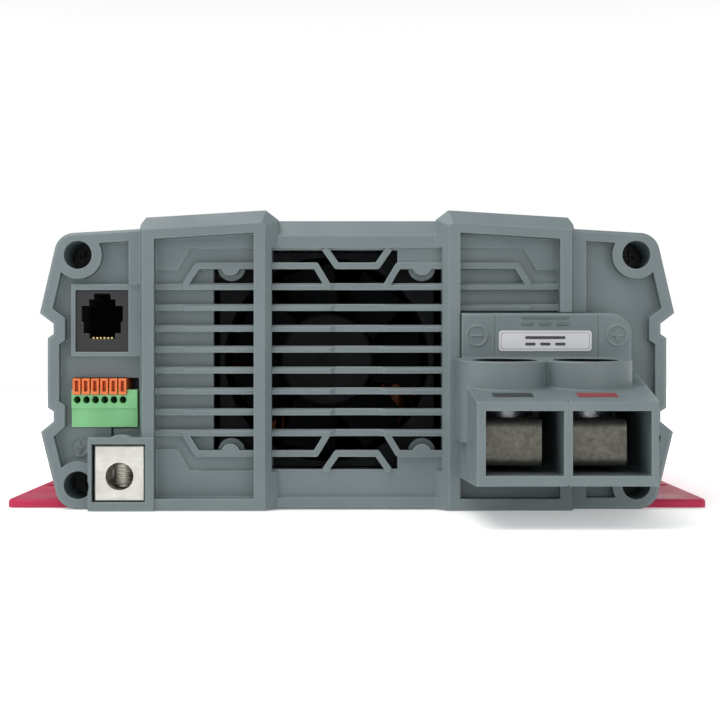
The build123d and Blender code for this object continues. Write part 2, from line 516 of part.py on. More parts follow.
BOLT_SEAT = TERMINAL_TOP + WASHER_T + LOCK_T
with BuildPart() as terminal_bolts:
    with BuildSketch(Plane.XY.offset(BOLT_SEAT)):
        with Locations(*[(x, TUBE_Y) for x in TUBE_X]):
            RegularPolygon(BOLT_HEAD_AF / 2, 6, major_radius=False, rotation=30)
    extrude(amount=BOLT_HEAD_H)
    chamfer(edges().group_by(Axis.Z)[-1], 0.6)
    with BuildSketch(Plane.XY.offset(BOLT_SEAT)):
        with Locations(*[(x, TUBE_Y) for x in TUBE_X]):
            Circle(BOLT_R)
    extrude(amount=-(BOLT_SEAT - TERMINAL_TOP + BAR_T + NUT_H))
terminal_bolts.part.label = "terminal_bolts"
export_step(terminal_bolts.part, "parts/terminal_bolts.step")

with BuildPart() as terminal_nuts:
    with BuildSketch(Plane.XY.offset(TERMINAL_TOP - BAR_T - NUT_H)):
        with Locations(*[(x, TUBE_Y) for x in TUBE_X]):
            RegularPolygon(BOLT_HEAD_AF / 2, 6, major_radius=False, rotation=30)
            Circle(BOLT_R, mode=Mode.SUBTRACT)
    extrude(amount=NUT_H)
terminal_nuts.part.label = "terminal_nuts"
export_step(terminal_nuts.part, "parts/terminal_nuts.step")

# ---------------------------------------------------------------- remote socket
JACK_FACE, JACK_BACK = FRONT + 4.8, FRONT + 25.0
JACK_X = (JACK_HOLE[0] + JACK_HOLE[2]) / 2
# The socket's outline as stacked rectangles: width, low z and top z.
SOCKET_STEPS = [(4.7, 58.0, 59.7), (7.4, 56.2, 58.1), (11.5, 51.8, 56.3), (10.4, 48.6, 51.9),
                (7.2, 47.1, 48.7)]
SOCKET_DEEP = 17.0
CONTACT_COUNT, CONTACT_PITCH, CONTACT_W, CONTACT_H = 6, 1.02, 0.5, 0.45

with BuildPart() as remote_jack:
    with BuildSketch(station(JACK_FACE)):
        rect(JACK_HOLE[0] + 0.1, JACK_HOLE[1] + 0.1, JACK_HOLE[2] - 0.1, JACK_HOLE[3] - 0.1)
    extrude(amount=-(JACK_BACK - JACK_FACE))
    with BuildSketch(station(JACK_FACE)):
        for width, low, top in SOCKET_STEPS:
            rect(JACK_X - width / 2, low, JACK_X + width / 2, top)
    extrude(amount=-SOCKET_DEEP, mode=Mode.SUBTRACT)
remote_jack.part.label = "remote_jack"
export_step(remote_jack.part, "parts/remote_jack.step")

with BuildPart() as jack_contacts:
    with BuildSketch(station(JACK_FACE + 0.8)):
        with Locations((JACK_X, SOCKET_STEPS[-1][1] + CONTACT_H / 2)):
            with GridLocations(CONTACT_PITCH, 1, CONTACT_COUNT, 1):
                Rectangle(CONTACT_W, CONTACT_H)
    extrude(amount=-(SOCKET_DEEP - 2))
jack_contacts.part.label = "jack_contacts"
export_step(jack_contacts.part, "parts/jack_contacts.step")

# ---------------------------------------------------------------- control terminal block
PLUG = (-79.2, 22.6, -60.9, 33.0)
PLUG_FRONT, PLUG_BACK = FRONT + 4.8, FRONT + 21.8
PLUG_STEP_Z, PLUG_STEP = 27.9, 0.5
POLE_PITCH, POLE_COUNT, FIRST_POLE_X = 2.54, 6, -77.6
RELEASE_W, RELEASE_LOW, RELEASE_TOP = 2.1, 31.7, 36.1
RELEASE_FRONT, RELEASE_BACK, RELEASE_TRAVEL = FRONT + 3.8, FRONT + 15.8, 1.2
RELEASE_SLOT_W, RELEASE_SLOT_DEEP = 1.0, 2.4
WIRE_R, WIRE_Z, SLIDE_GAP = 1.0, 30.2, 0.08
POLES_X = [FIRST_POLE_X + POLE_PITCH * pole for pole in range(POLE_COUNT)]

with BuildPart() as terminal_plug:
    block(PLUG[0], PLUG_FRONT, PLUG_STEP_Z, PLUG[2], PLUG_BACK, PLUG[3])
    block(PLUG[0], PLUG_FRONT + PLUG_STEP, PLUG[1], PLUG[2], PLUG_BACK, PLUG_STEP_Z)
    with BuildSketch(station(PLUG_FRONT)):
        with Locations(*[(x, WIRE_Z) for x in POLES_X]):
            Circle(WIRE_R)
    extrude(amount=-9, mode=Mode.SUBTRACT)
    for pole_x in POLES_X:
        block(pole_x - RELEASE_W / 2 - SLIDE_GAP, PLUG_FRONT - 1, RELEASE_LOW - SLIDE_GAP,
              pole_x + RELEASE_W / 2 + SLIDE_GAP, RELEASE_BACK + RELEASE_TRAVEL + GAP, 40, mode=Mode.SUBTRACT)
terminal_plug.part.label = "terminal_plug"
export_step(terminal_plug.part, "parts/terminal_plug.step")

with BuildPart() as terminal_header:
    block(PLUG[0], PLUG_BACK, PLUG[1], PLUG[2], PLUG_BACK + 8, 36.2)
    block(PLUG[0], RELEASE_BACK + RELEASE_TRAVEL + 1, PLUG[3] + 0.1, PLUG[2], PLUG_BACK, 36.2)
terminal_header.part.label = "terminal_header"
export_step(terminal_header.part, "parts/terminal_header.step")

for pole, pole_x in enumerate(POLES_X, start=1):
    with BuildPart() as wire_release:
        block(pole_x - RELEASE_W / 2, RELEASE_FRONT, RELEASE_LOW,
              pole_x + RELEASE_W / 2, RELEASE_BACK, RELEASE_TOP)
        block(pole_x - RELEASE_SLOT_W / 2, RELEASE_FRONT - 1, RELEASE_LOW + 0.8, pole_x + RELEASE_SLOT_W / 2,
              RELEASE_FRONT + RELEASE_SLOT_DEEP, RELEASE_TOP - 0.6, mode=Mode.SUBTRACT)
    wire_release.part.label = f"wire_release_{pole}"
    export_step(wire_release.part, f"parts/wire_release_{pole}.step")

# ---------------------------------------------------------------- earth lug and its clamp screw
LUG_HALF_W, LUG_TOP, LUG_FRONT, LUG_BACK = 6.9, 17.9, FRONT - 0.5, FRONT + 13.5
LUG_SCREW_LOW = LUG_BORE_Z + LUG_BORE_R
LUG_BORE_DEEP = 11.0

with BuildPart() as earth_lug:
    block(LUG_X - LUG_HALF_W, LUG_FRONT, 2.6, LUG_X + LUG_HALF_W, LUG_BACK, LUG_TOP)
    chamfer(edges().filter_by_position(Axis.Y, LUG_FRONT - 0.01, LUG_FRONT + 0.01), 0.35)
    with BuildSketch(station(LUG_FRONT)):
        with Locations((LUG_X, LUG_BORE_Z)):
            Circle(LUG_BORE_R)
    extrude(amount=-LUG_BORE_DEEP, mode=Mode.SUBTRACT)
    with Locations((LUG_X, LUG_SCREW_Y, LUG_TOP)):
        Cylinder(LUG_SCREW_R, 12, mode=Mode.SUBTRACT)
earth_lug.part.label = "earth_lug"
export_step(earth_lug.part, "parts/earth_lug.step")

with BuildPart() as earth_screw:
    with Locations((LUG_X, LUG_SCREW_Y, (LUG_SCREW_LOW + LUG_TOP) / 2)):
        Cylinder(LUG_SCREW_R, LUG_TOP - LUG_SCREW_LOW)
    with BuildSketch(Plane.XY.offset(LUG_TOP)):
        with Locations((LUG_X, LUG_SCREW_Y)):
            RegularPolygon(2.0, 6, major_radius=False)
    extrude(amount=-2.5, mode=Mode.SUBTRACT)
earth_screw.part.label = "earth_screw"
export_step(earth_screw.part, "parts/earth_screw.step")

# ---------------------------------------------------------------- screws that hold the end bezels
def end_screws():
    """Four pan-head screws in the corner wells, in the open part, facing the DC end."""
    seat = FRONT + WELL_FLOOR
    with BuildSketch(station(seat)) as heads:
        with Locations(*screw_places()):
            Circle(SCREW_HEAD_R)
    extrude(heads.sketch, amount=SCREW_HEAD_H)
    with BuildSketch(station(seat)) as shanks:
        with Locations(*screw_places()):
            Circle(SCREW_R)
    extrude(shanks.sketch, amount=-SCREW_LENGTH)
    with BuildSketch(station(seat - SCREW_HEAD_H)) as crosses:
        with Locations(*screw_places()):
            Rectangle(3.6, 0.8)
            Rectangle(0.8, 3.6)
    extrude(crosses.sketch, amount=-1.4, mode=Mode.SUBTRACT)


with BuildPart() as dc_end_screws:
    end_screws()
dc_end_screws.part.label = "dc_end_screws"
export_step(dc_end_screws.part, "parts/dc_end_screws.step")

# ---------------------------------------------------------------- cooling fan
FAN_BORE_R, FAN_BACK = 28.6, FAN_FRONT + FAN_DEPTH
FAN_HOLE_R, FAN_FLANGE, FAN_CORNER_R = 2.1, 4.0, 5.0
HUB_R, HUB_WALL, HUB_FRONT, HUB_BACK = 13.2, 1.4, FAN_FRONT + 1.5, FAN_FRONT + 20.0
BLADE_TIP_R, BLADE_COUNT, BLADE_T, BLADE_CHORD = 26.4, 7, 1.2, 17.0
BLADE_ROOT_PITCH, BLADE_TIP_PITCH = 48.0, 62.0
SHAFT_R, BEARING_BORE_R, BEARING_R = 1.5, 1.55, 4.0
MOTOR_PLATE_R, MOTOR_PLATE_T, STRUT_W, STRUT_COUNT = 14.5, 2.0, 3.2, 4

with BuildPart() as fan_frame:
    with BuildSketch(station(FAN_FRONT)):
        with Locations((FAN_X, MID_Z)):
            RectangleRounded(FAN_SIZE, FAN_SIZE, FAN_CORNER_R)
    extrude(amount=-FAN_DEPTH)
    # The frame is thin between its two flanges.
    with BuildSketch(station(FAN_FRONT + FAN_FLANGE)):
        with Locations((FAN_X, MID_Z)):
            RectangleRounded(FAN_SIZE + 1, FAN_SIZE + 1, FAN_CORNER_R)
            Circle(FAN_BORE_R + 1.3, mode=Mode.SUBTRACT)
            with GridLocations(FAN_PITCH, FAN_PITCH, 2, 2):
                Circle(FAN_HOLE_R + 1.5, mode=Mode.SUBTRACT)
    extrude(amount=-(FAN_DEPTH - 2 * FAN_FLANGE), mode=Mode.SUBTRACT)
    with BuildSketch(station(FAN_FRONT)):
        with Locations((FAN_X, MID_Z)):
            Circle(FAN_BORE_R)
            with GridLocations(FAN_PITCH, FAN_PITCH, 2, 2):
                Circle(FAN_HOLE_R)
    extrude(amount=-FAN_DEPTH, mode=Mode.SUBTRACT)
    with BuildSketch(station(FAN_BACK - MOTOR_PLATE_T)):
        with Locations((FAN_X, MID_Z)):
            Circle(MOTOR_PLATE_R)
            with PolarLocations((MOTOR_PLATE_R + FAN_BORE_R) / 2, STRUT_COUNT, start_angle=45):
                Rectangle(FAN_BORE_R - MOTOR_PLATE_R + 2, STRUT_W)
    extrude(amount=-MOTOR_PLATE_T)
    with BuildSketch(station(FAN_BACK - 16)):
        with Locations((FAN_X, MID_Z)):
            Circle(BEARING_R)
            Circle(BEARING_BORE_R, mode=Mode.SUBTRACT)
    extrude(amount=-(16 - MOTOR_PLATE_T))
fan_frame.part.label = "fan_frame"
export_step(fan_frame.part, "parts/fan_frame.step")

STATOR_IN_R, STATOR_OUT_R = BEARING_R, 10.4
with BuildPart() as fan_stator:
    with BuildSketch(station(FAN_BACK - 13)):
        with Locations((FAN_X, MID_Z)):
            Circle(STATOR_OUT_R)
            with PolarLocations(STATOR_OUT_R - 1.5, 4, start_angle=45):
                Rectangle(5.0, 1.6, mode=Mode.SUBTRACT)
            Circle(STATOR_IN_R, mode=Mode.SUBTRACT)
    extrude(amount=-9)
fan_stator.part.label = "fan_stator"
export_step(fan_stator.part, "parts/fan_stator.step")


def blade_section(radius, pitch):
    """Blade section at a radius, as a sketch square to the radial direction; pitch is from the axis."""
    middle = (FAN_X + radius, (HUB_FRONT + HUB_BACK) / 2, MID_Z)
    plane = Plane(origin=middle, x_dir=(0, 1, 0), z_dir=(1, 0, 0))
    with BuildSketch(plane) as section:
        Rectangle(BLADE_CHORD, BLADE_T, rotation=pitch)
    return section.sketch


with BuildPart(mode=Mode.PRIVATE) as fan_blade:
    loft([blade_section(HUB_R - 0.6, BLADE_ROOT_PITCH), blade_section(BLADE_TIP_R, BLADE_TIP_PITCH)])

with BuildPart() as fan_rotor:
    with BuildSketch(station(HUB_FRONT)):
        with Locations((FAN_X, MID_Z)):
            Circle(HUB_R)
    extrude(amount=-(HUB_BACK - HUB_FRONT))
    fillet(edges().filter_by_position(Axis.Y, HUB_FRONT - 0.01, HUB_FRONT + 0.01), 1.2)
    with BuildSketch(station(HUB_FRONT + HUB_WALL)):
        with Locations((FAN_X, MID_Z)):
            Circle(HUB_R - HUB_WALL)
    extrude(amount=-(HUB_BACK - HUB_FRONT), mode=Mode.SUBTRACT)
    with BuildSketch(station(HUB_FRONT + HUB_WALL)):
        with Locations((FAN_X, MID_Z)):
            Circle(SHAFT_R)
    extrude(amount=-(FAN_BACK - MOTOR_PLATE_T - 0.5 - HUB_FRONT - HUB_WALL))
    axle = Axis((FAN_X, 0, MID_Z), (0, 1, 0))
    for blade in range(BLADE_COUNT):
        add(fan_blade.part.rotate(axle, blade * 360 / BLADE_COUNT))
fan_rotor.part.label = "fan_rotor"
export_step(fan_rotor.part, "parts/fan_rotor.step")

with BuildPart() as fan_screws:
    with BuildSketch(station(FAN_BACK)):
        with Locations((FAN_X, MID_Z)):
            with GridLocations(FAN_PITCH, FAN_PITCH, 2, 2):
                Circle(3.0)
    extrude(amount=-2.0)
    with BuildSketch(station(FAN_BACK)):
        with Locations((FAN_X, MID_Z)):
            with GridLocations(FAN_PITCH, FAN_PITCH, 2, 2):
                Circle(FAN_PILOT_R)
    extrude(amount=FAN_DEPTH + FAN_PILOT_DEEP - 0.4)
fan_screws.part.label = "fan_screws"
export_step(fan_screws.part, "parts/fan_screws.step")

# ---------------------------------------------------------------- AC end, built facing the DC end
AC_MIRROR = Plane.XZ.offset(-(FRONT + BACK) / 2)
CONTROL_X = 71.5                    # centre of the control column
FACE_DEPTH = 6.5                    # floor of the socket bay and the control column, behind the rib faces
OUTLET_X, OUTLET_Z = 42.0, (57.5, 25.1)
OUTLET_W, OUTLET_H, OUTLET_LIP, OUTLET_LIP_T = 24.0, 24.6, 1.6, 1.5
ROCKER_Z, ROCKER_HOLE_W, ROCKER_HOLE_H = 52.0, 13.4, 19.4
LED_Z, LED_R = (37.0, 31.5), 1.5
BREAKER_Z, BREAKER_NECK_R = 20.5, 4.8
VENT_SLAT_COUNT, VENT_LOW_Z = 10, 15.3

with BuildPart() as ac_end_bezel:
    bezel_body()
    cut_outline(BAY_MOUTH, FLOOR_DEPTH, -1)
    cut_outline(BAY_MOUTH, FACE_DEPTH, 1)
    cut_outline([(-21.8, BAY_LOW_Z), (21.8, BAY_LOW_Z), (21.8, MIDDLE_TOP_Z), (-21.8, MIDDLE_TOP_Z)],
                FLOOR_DEPTH)
    for side, depth in ((-1, PANEL_DEPTH), (1, FACE_DEPTH)):
        with BuildSketch(station(FRONT - 2)) as column:
            bezel_outline(RIM)
            with Locations(*screw_places()):
                Circle(WELL_BOSS_R, mode=Mode.SUBTRACT)
            rect(side * 63.3, -1, -90 * side, 90, mode=Mode.SUBTRACT)
        extrude(column.sketch, amount=-(depth + 2), mode=Mode.SUBTRACT)
    # Air window with its slats.
    with BuildSketch(station(FRONT + FLOOR_DEPTH - 1)):
        rect(-52.0, 10.9, 21.8, 71.7)
    extrude(amount=-BEZEL_DEPTH, mode=Mode.SUBTRACT)
    for row in range(VENT_SLAT_COUNT):
        top = VENT_LOW_Z + row * SLAT_PITCH + SLAT_THICK / 2
        block(-52.5, FRONT + BAR_FRONT, top - SLAT_THICK, 22.5, FRONT + PANEL_DEPTH, top)
    with BuildSketch(station(FRONT + FLOOR_DEPTH)):
        rect(-BAY_IN, 8, -RIB_FACE_IN, 74)
        rect(-2, 8, 2, 74)
    extrude(amount=-(PANEL_DEPTH - FLOOR_DEPTH))
    # Sockets, rocker, lamps and breaker.
    with BuildSketch(station(FRONT - 2)):
        with Locations(*[(OUTLET_X, z) for z in OUTLET_Z]):
            Rectangle(OUTLET_W, OUTLET_H)
        with Locations((CONTROL_X, ROCKER_Z)):
            Rectangle(ROCKER_HOLE_W, ROCKER_HOLE_H)
        with Locations(*[(CONTROL_X, z) for z in LED_Z]):
            Circle(LED_R + 0.1)
        with Locations((CONTROL_X, BREAKER_Z)):
            Circle(BREAKER_NECK_R + 0.1)
    extrude(amount=-(BEZEL_DEPTH + 2), mode=Mode.SUBTRACT)
    hollow_back(TRAY_INSET)
    with BuildSketch(station(FRONT + FACE_DEPTH + PANEL_THICK)):
        rect(BAY_IN - 2, 5, BAY_OUT + 2, 74)
        rect(64.5, 14.2, 80.5, 63.0)
    extrude(amount=-(PANEL_DEPTH - FACE_DEPTH + 1), mode=Mode.SUBTRACT)
    with BuildSketch(station(FRONT - 2)):
        with Locations(*screw_places()):
            Circle(WELL_R)
    extrude(amount=-(WELL_FLOOR + 2), mode=Mode.SUBTRACT)
    with BuildSketch(station(FRONT - 2)):
        with Locations(*screw_places()):
            Circle(SCREW_R + 0.2)
    extrude(amount=-(BEZEL_DEPTH + 4), mode=Mode.SUBTRACT)
    mirror(about=AC_MIRROR, mode=Mode.REPLACE)
ac_end_bezel.part.label = "ac_end_bezel"
export_step(ac_end_bezel.part, "parts/ac_end_bezel.step")

with BuildPart() as ac_end_screws:
    end_screws()
    mirror(about=AC_MIRROR, mode=Mode.REPLACE)
ac_end_screws.part.label = "ac_end_screws"
export_step(ac_end_screws.part, "parts/ac_end_screws.step")

# Snap-in three-pin outlets: two blade slots over a round earth hole.
OUTLET_BACK = FRONT + FACE_DEPTH + 20.0
for node, outlet_z in zip(("ac_outlet_upper", "ac_outlet_lower"), OUTLET_Z):
    with BuildPart() as ac_outlet:
        face_y = FRONT + FACE_DEPTH - OUTLET_LIP_T
        with BuildSketch(station(face_y)):
            with Locations((OUTLET_X, outlet_z)):
                RectangleRounded(OUTLET_W + 2 * OUTLET_LIP, OUTLET_H + 2 * OUTLET_LIP, 2.0)
        extrude(amount=-OUTLET_LIP_T)
        chamfer(edges().filter_by_position(Axis.Y, face_y - 0.01, face_y + 0.01), 0.5)
        with BuildSketch(station(FRONT + FACE_DEPTH)):
            with Locations((OUTLET_X, outlet_z)):
                Rectangle(OUTLET_W - 0.4, OUTLET_H - 0.4)
        extrude(amount=-(OUTLET_BACK - FRONT - FACE_DEPTH))
        with BuildSketch(station(face_y)):
            with Locations((OUTLET_X - 6.35, outlet_z + 4.2)):
                Rectangle(2.2, 8.2)
            with Locations((OUTLET_X + 6.35, outlet_z + 4.2)):
                Rectangle(2.2, 6.8)
            with Locations((OUTLET_X, outlet_z - 7.4)):
                Circle(2.6)
        extrude(amount=-16, mode=Mode.SUBTRACT)
        mirror(about=AC_MIRROR, mode=Mode.REPLACE)
    ac_outlet.part.label = node
    export_step(ac_outlet.part, f"parts/{node}.step")

# Latching power rocker: a segment that tilts on two pins in its housing.
ROCKER_FACE = FRONT + FACE_DEPTH - 2.0
ROCKER_PIVOT_Y, ROCKER_SWING_R, ROCKER_W = ROCKER_FACE + 3.0, 8.5, 11.0
ROCKER_TILT = 10.0
ROCKER_PIN_R, ROCKER_PIN_GAP = 1.5, 0.05
ROCKER_PROFILE = [(5.2, -9), (3.4, 0), (5.2, 9), (-2.5, 9), (-2.5, -9)]     # outwards, upwards from the pivot

with BuildPart() as rocker_housing:
    with BuildSketch(station(ROCKER_FACE)):
        with Locations((CONTROL_X, ROCKER_Z)):
            RectangleRounded(ROCKER_HOLE_W + 2.0, ROCKER_HOLE_H + 2.6, 1.5)
    extrude(amount=-2.0)
    chamfer(edges().filter_by_position(Axis.Y, ROCKER_FACE - 0.01, ROCKER_FACE + 0.01), 0.5)
    with BuildSketch(station(ROCKER_FACE + 2)):
        with Locations((CONTROL_X, ROCKER_Z)):
            Rectangle(ROCKER_HOLE_W - 0.3, ROCKER_HOLE_H - 0.3)
    extrude(amount=-17)
    with BuildSketch(station(ROCKER_FACE)):
        with Locations((CONTROL_X, ROCKER_Z)):
            Rectangle(ROCKER_W + 0.7, 2 * ROCKER_SWING_R + 0.7)
    extrude(amount=-9.5, mode=Mode.SUBTRACT)
    with Locations(Location((CONTROL_X, ROCKER_PIVOT_Y, ROCKER_Z), (0, 90, 0))):
        Cylinder(ROCKER_PIN_R + ROCKER_PIN_GAP, ROCKER_HOLE_W - 0.5, mode=Mode.SUBTRACT)
    mirror(about=AC_MIRROR, mode=Mode.REPLACE)
rocker_housing.part.label = "rocker_housing"
export_step(rocker_housing.part, "parts/rocker_housing.step")

with BuildPart() as power_rocker:
    with BuildSketch(Plane.YZ.offset(CONTROL_X - ROCKER_W / 2)):
        with Locations((ROCKER_PIVOT_Y, ROCKER_Z)):
            Circle(ROCKER_SWING_R)
            Polygon(*[(-out, up) for out, up in ROCKER_PROFILE], align=None, mode=Mode.INTERSECT)
    extrude(amount=ROCKER_W)
    with Locations(Location((CONTROL_X, ROCKER_PIVOT_Y, ROCKER_Z), (0, 90, 0))):
        Cylinder(ROCKER_PIN_R, ROCKER_W + 1.4)
    pivot = Axis((0, ROCKER_PIVOT_Y, ROCKER_Z), (1, 0, 0))
    add(power_rocker.part.rotate(pivot, ROCKER_TILT), mode=Mode.REPLACE)
    mirror(about=AC_MIRROR, mode=Mode.REPLACE)
power_rocker.part.label = "power_rocker"
export_step(power_rocker.part, "parts/power_rocker.step")

for node, led_z in zip(("power_lamp", "fault_lamp"), LED_Z):
    with BuildPart() as lamp:
        with BuildSketch(station(FRONT + FACE_DEPTH - 0.8)):
            with Locations((CONTROL_X, led_z)):
                Circle(LED_R)
        extrude(amount=-8)
        fillet(edges().filter_by_position(Axis.Y, FRONT + FACE_DEPTH - 0.81, FRONT + FACE_DEPTH - 0.79), 1.2)
        mirror(about=AC_MIRROR, mode=Mode.REPLACE)
    lamp.part.label = node
    export_step(lamp.part, f"parts/{node}.step")

# Resettable breaker: neck through the panel, hexagon nut outside, button that pops out when it trips.
BUTTON_R, BUTTON_GAP, BUTTON_STAND, BUTTON_TRAVEL = 2.8, 0.08, 4.2, 3.0
NECK_STAND, BREAKER_NUT_T, BREAKER_BACK = 3.4, 2.2, FRONT + FACE_DEPTH + 24.0
with BuildPart() as breaker_body:
    with BuildSketch(station(FRONT + FACE_DEPTH - NECK_STAND)):
        with Locations((CONTROL_X, BREAKER_Z)):
            Circle(BREAKER_NECK_R)
    extrude(amount=-(NECK_STAND + PANEL_THICK))
    block(CONTROL_X - 6.3, FRONT + FACE_DEPTH + PANEL_THICK, BREAKER_Z - 5.9,
          CONTROL_X + 6.3, BREAKER_BACK, BREAKER_Z + 7)
    with BuildSketch(station(FRONT + FACE_DEPTH - NECK_STAND)):
        with Locations((CONTROL_X, BREAKER_Z)):
            Circle(BUTTON_R + BUTTON_GAP)
    extrude(amount=-14, mode=Mode.SUBTRACT)
    mirror(about=AC_MIRROR, mode=Mode.REPLACE)
breaker_body.part.label = "breaker_body"
export_step(breaker_body.part, "parts/breaker_body.step")

with BuildPart() as breaker_nut:
    with BuildSketch(station(FRONT + FACE_DEPTH)):
        with Locations((CONTROL_X, BREAKER_Z)):
            RegularPolygon(6.2, 6, major_radius=False)
            Circle(BREAKER_NECK_R, mode=Mode.SUBTRACT)
    extrude(amount=BREAKER_NUT_T)
    mirror(about=AC_MIRROR, mode=Mode.REPLACE)
breaker_nut.part.label = "breaker_nut"
export_step(breaker_nut.part, "parts/breaker_nut.step")

with BuildPart() as breaker_button:
    with BuildSketch(station(FRONT + FACE_DEPTH - NECK_STAND - BUTTON_STAND + 2)):
        with Locations((CONTROL_X, BREAKER_Z)):
            Circle(BUTTON_R)
    extrude(amount=-12)
    button_y = FRONT + FACE_DEPTH - NECK_STAND - BUTTON_STAND + 2
    fillet(edges().filter_by_position(Axis.Y, button_y - 0.01, button_y + 0.01), 0.7)
    mirror(about=AC_MIRROR, mode=Mode.REPLACE)
breaker_button.part.label = "breaker_button"
export_step(breaker_button.part, "parts/breaker_button.step")

# ---------------------------------------------------------------- main board and what stands on it
BOARD_HALF, BOARD_FRONT, BOARD_BACK, BOARD_T = 71.0, -83.0, 127.0, 1.6
BOARD_TOP = BOARD_Z + BOARD_T
SHEET_Z, SHEET_T = TRAY_THICK, 0.5

with BuildPart() as insulating_sheet:
    with BuildSketch(Plane.XY.offset(SHEET_Z)):
        with Locations((0, (BOARD_FRONT + BOARD_BACK) / 2)):
            Rectangle(2 * BOARD_HALF - 2, BOARD_BACK - BOARD_FRONT)
        with Locations(*STANDOFF_PLACES):
            Circle(STANDOFF_R, mode=Mode.SUBTRACT)
    extrude(amount=SHEET_T)
insulating_sheet.part.label = "insulating_sheet"
export_step(insulating_sheet.part, "parts/insulating_sheet.step")

with BuildPart() as board_standoffs:
    with BuildSketch(Plane.XY.offset(TRAY_THICK)):
        with Locations(*STANDOFF_PLACES):
            RegularPolygon(STANDOFF_R, 6)
            Circle(STANDOFF_TAP_R, mode=Mode.SUBTRACT)
    extrude(amount=BOARD_Z - TRAY_THICK)
board_standoffs.part.label = "board_standoffs"
export_step(board_standoffs.part, "parts/board_standoffs.step")

with BuildPart() as board_screws:
    with BuildSketch(Plane.XY.offset(BOARD_TOP)):
        with Locations(*STANDOFF_PLACES):
            Circle(2.6)
    extrude(amount=2)
    with BuildSketch(Plane.XY.offset(BOARD_TOP)):
        with Locations(*STANDOFF_PLACES):
            Circle(STANDOFF_TAP_R)
    extrude(amount=-6)
board_screws.part.label = "board_screws"
export_step(board_screws.part, "parts/board_screws.step")

with BuildPart() as main_board:
    with BuildSketch(Plane.XY.offset(BOARD_Z)):
        with Locations((0, (BOARD_FRONT + BOARD_BACK) / 2)):
            Rectangle(2 * BOARD_HALF, BOARD_BACK - BOARD_FRONT)
        with Locations(*STANDOFF_PLACES):
            Circle(STANDOFF_TAP_R + 0.2, mode=Mode.SUBTRACT)
    extrude(amount=BOARD_T)
main_board.part.label = "main_board"
export_step(main_board.part, "parts/main_board.step")

# Busbars from the DC terminals down to the board.
BUSBAR_W, BUSBAR_T, BUSBAR_DROP_Y, BUSBAR_TOE_Y = 8.0, 2.0, -74.0, -58.0
BUSBAR_TOP = TERMINAL_TOP - BAR_T
with BuildPart() as dc_busbars:
    for bar_x in TUBE_X:
        block(bar_x - BUSBAR_W / 2, TERMINAL_END - 12, BUSBAR_TOP - BUSBAR_T,
              bar_x + BUSBAR_W / 2, BUSBAR_DROP_Y, BUSBAR_TOP)
        block(bar_x - BUSBAR_W / 2, BUSBAR_DROP_Y - BUSBAR_T, BOARD_TOP,
              bar_x + BUSBAR_W / 2, BUSBAR_DROP_Y, BUSBAR_TOP)
        block(bar_x - BUSBAR_W / 2, BUSBAR_DROP_Y - BUSBAR_T, BOARD_TOP, bar_x + BUSBAR_W / 2, BUSBAR_TOE_Y,
              BOARD_TOP + BUSBAR_T)
    with Locations(*[(x, TERMINAL_END - 6, BUSBAR_TOP) for x in TUBE_X]):
        Cylinder(2.1, 3 * BUSBAR_T, mode=Mode.SUBTRACT)
dc_busbars.part.label = "dc_busbars"
export_step(dc_busbars.part, "parts/dc_busbars.step")

with BuildPart() as busbar_screws:
    with Locations(*[(x, TERMINAL_END - 6, TERMINAL_TOP + 1.5) for x in TUBE_X]):
        Cylinder(4.0, 3.0)
    with Locations(*[(x, TERMINAL_END - 6, TERMINAL_TOP - 4) for x in TUBE_X]):
        Cylinder(2.0, 8.0)
busbar_screws.part.label = "busbar_screws"
export_step(busbar_screws.part, "parts/busbar_screws.step")

FUSE_PLACES = [(x, -46.0) for x in (32.0, 42.0, 52.0, 62.0)]
with BuildPart() as blade_fuses:
    with BuildSketch(Plane.XY.offset(BOARD_TOP)):
        with Locations(*FUSE_PLACES):
            RectangleRounded(5.0, 19.0, 1.2)
    extrude(amount=16)
blade_fuses.part.label = "blade_fuses"
export_step(blade_fuses.part, "parts/blade_fuses.step")

# Step-up transformers: an E-core round a wound bobbin.
CORE_W, CORE_D, CORE_H, LEG_W = 43.0, 21.0, 36.0, 7.0
TRANSFORMER_PLACES = [(-32.0, -44.0), (-32.0, -2.0), (14.0, -2.0)]
WINDING_R, WINDING_CORE_R = 14.0, 6.2
with BuildPart() as transformer_cores:
    for core_x, core_y in TRANSFORMER_PLACES:
        block(core_x - CORE_W / 2, core_y - CORE_D / 2, BOARD_TOP,
              core_x + CORE_W / 2, core_y + CORE_D / 2, BOARD_TOP + CORE_H)
        block(core_x - CORE_W / 2 + LEG_W, core_y - CORE_D, BOARD_TOP + LEG_W, core_x + CORE_W / 2 - LEG_W,
              core_y + CORE_D, BOARD_TOP + CORE_H - LEG_W, mode=Mode.SUBTRACT)
    with Locations(*[(x, y, BOARD_TOP + CORE_H / 2) for x, y in TRANSFORMER_PLACES]):
        Cylinder(WINDING_CORE_R, CORE_H - 2 * LEG_W)
transformer_cores.part.label = "transformer_cores"
export_step(transformer_cores.part, "parts/transformer_cores.step")

with BuildPart() as transformer_windings:
    with Locations(*[(x, y, BOARD_TOP + CORE_H / 2) for x, y in TRANSFORMER_PLACES]):
        Cylinder(WINDING_R, CORE_H - 2 * LEG_W)
        Cylinder(WINDING_CORE_R, CORE_H - 2 * LEG_W, mode=Mode.SUBTRACT)
transformer_windings.part.label = "transformer_windings"
export_step(transformer_windings.part, "parts/transformer_windings.step")


def cans(places, radius, height):
    """Upright can capacitors with rounded tops, in the open part."""
    with BuildSketch(Plane.XY.offset(BOARD_TOP)) as bases:
        with Locations(*places):
            Circle(radius)
    extrude(bases.sketch, amount=height)
    fillet(edges().group_by(Axis.Z)[-1], 1.0)


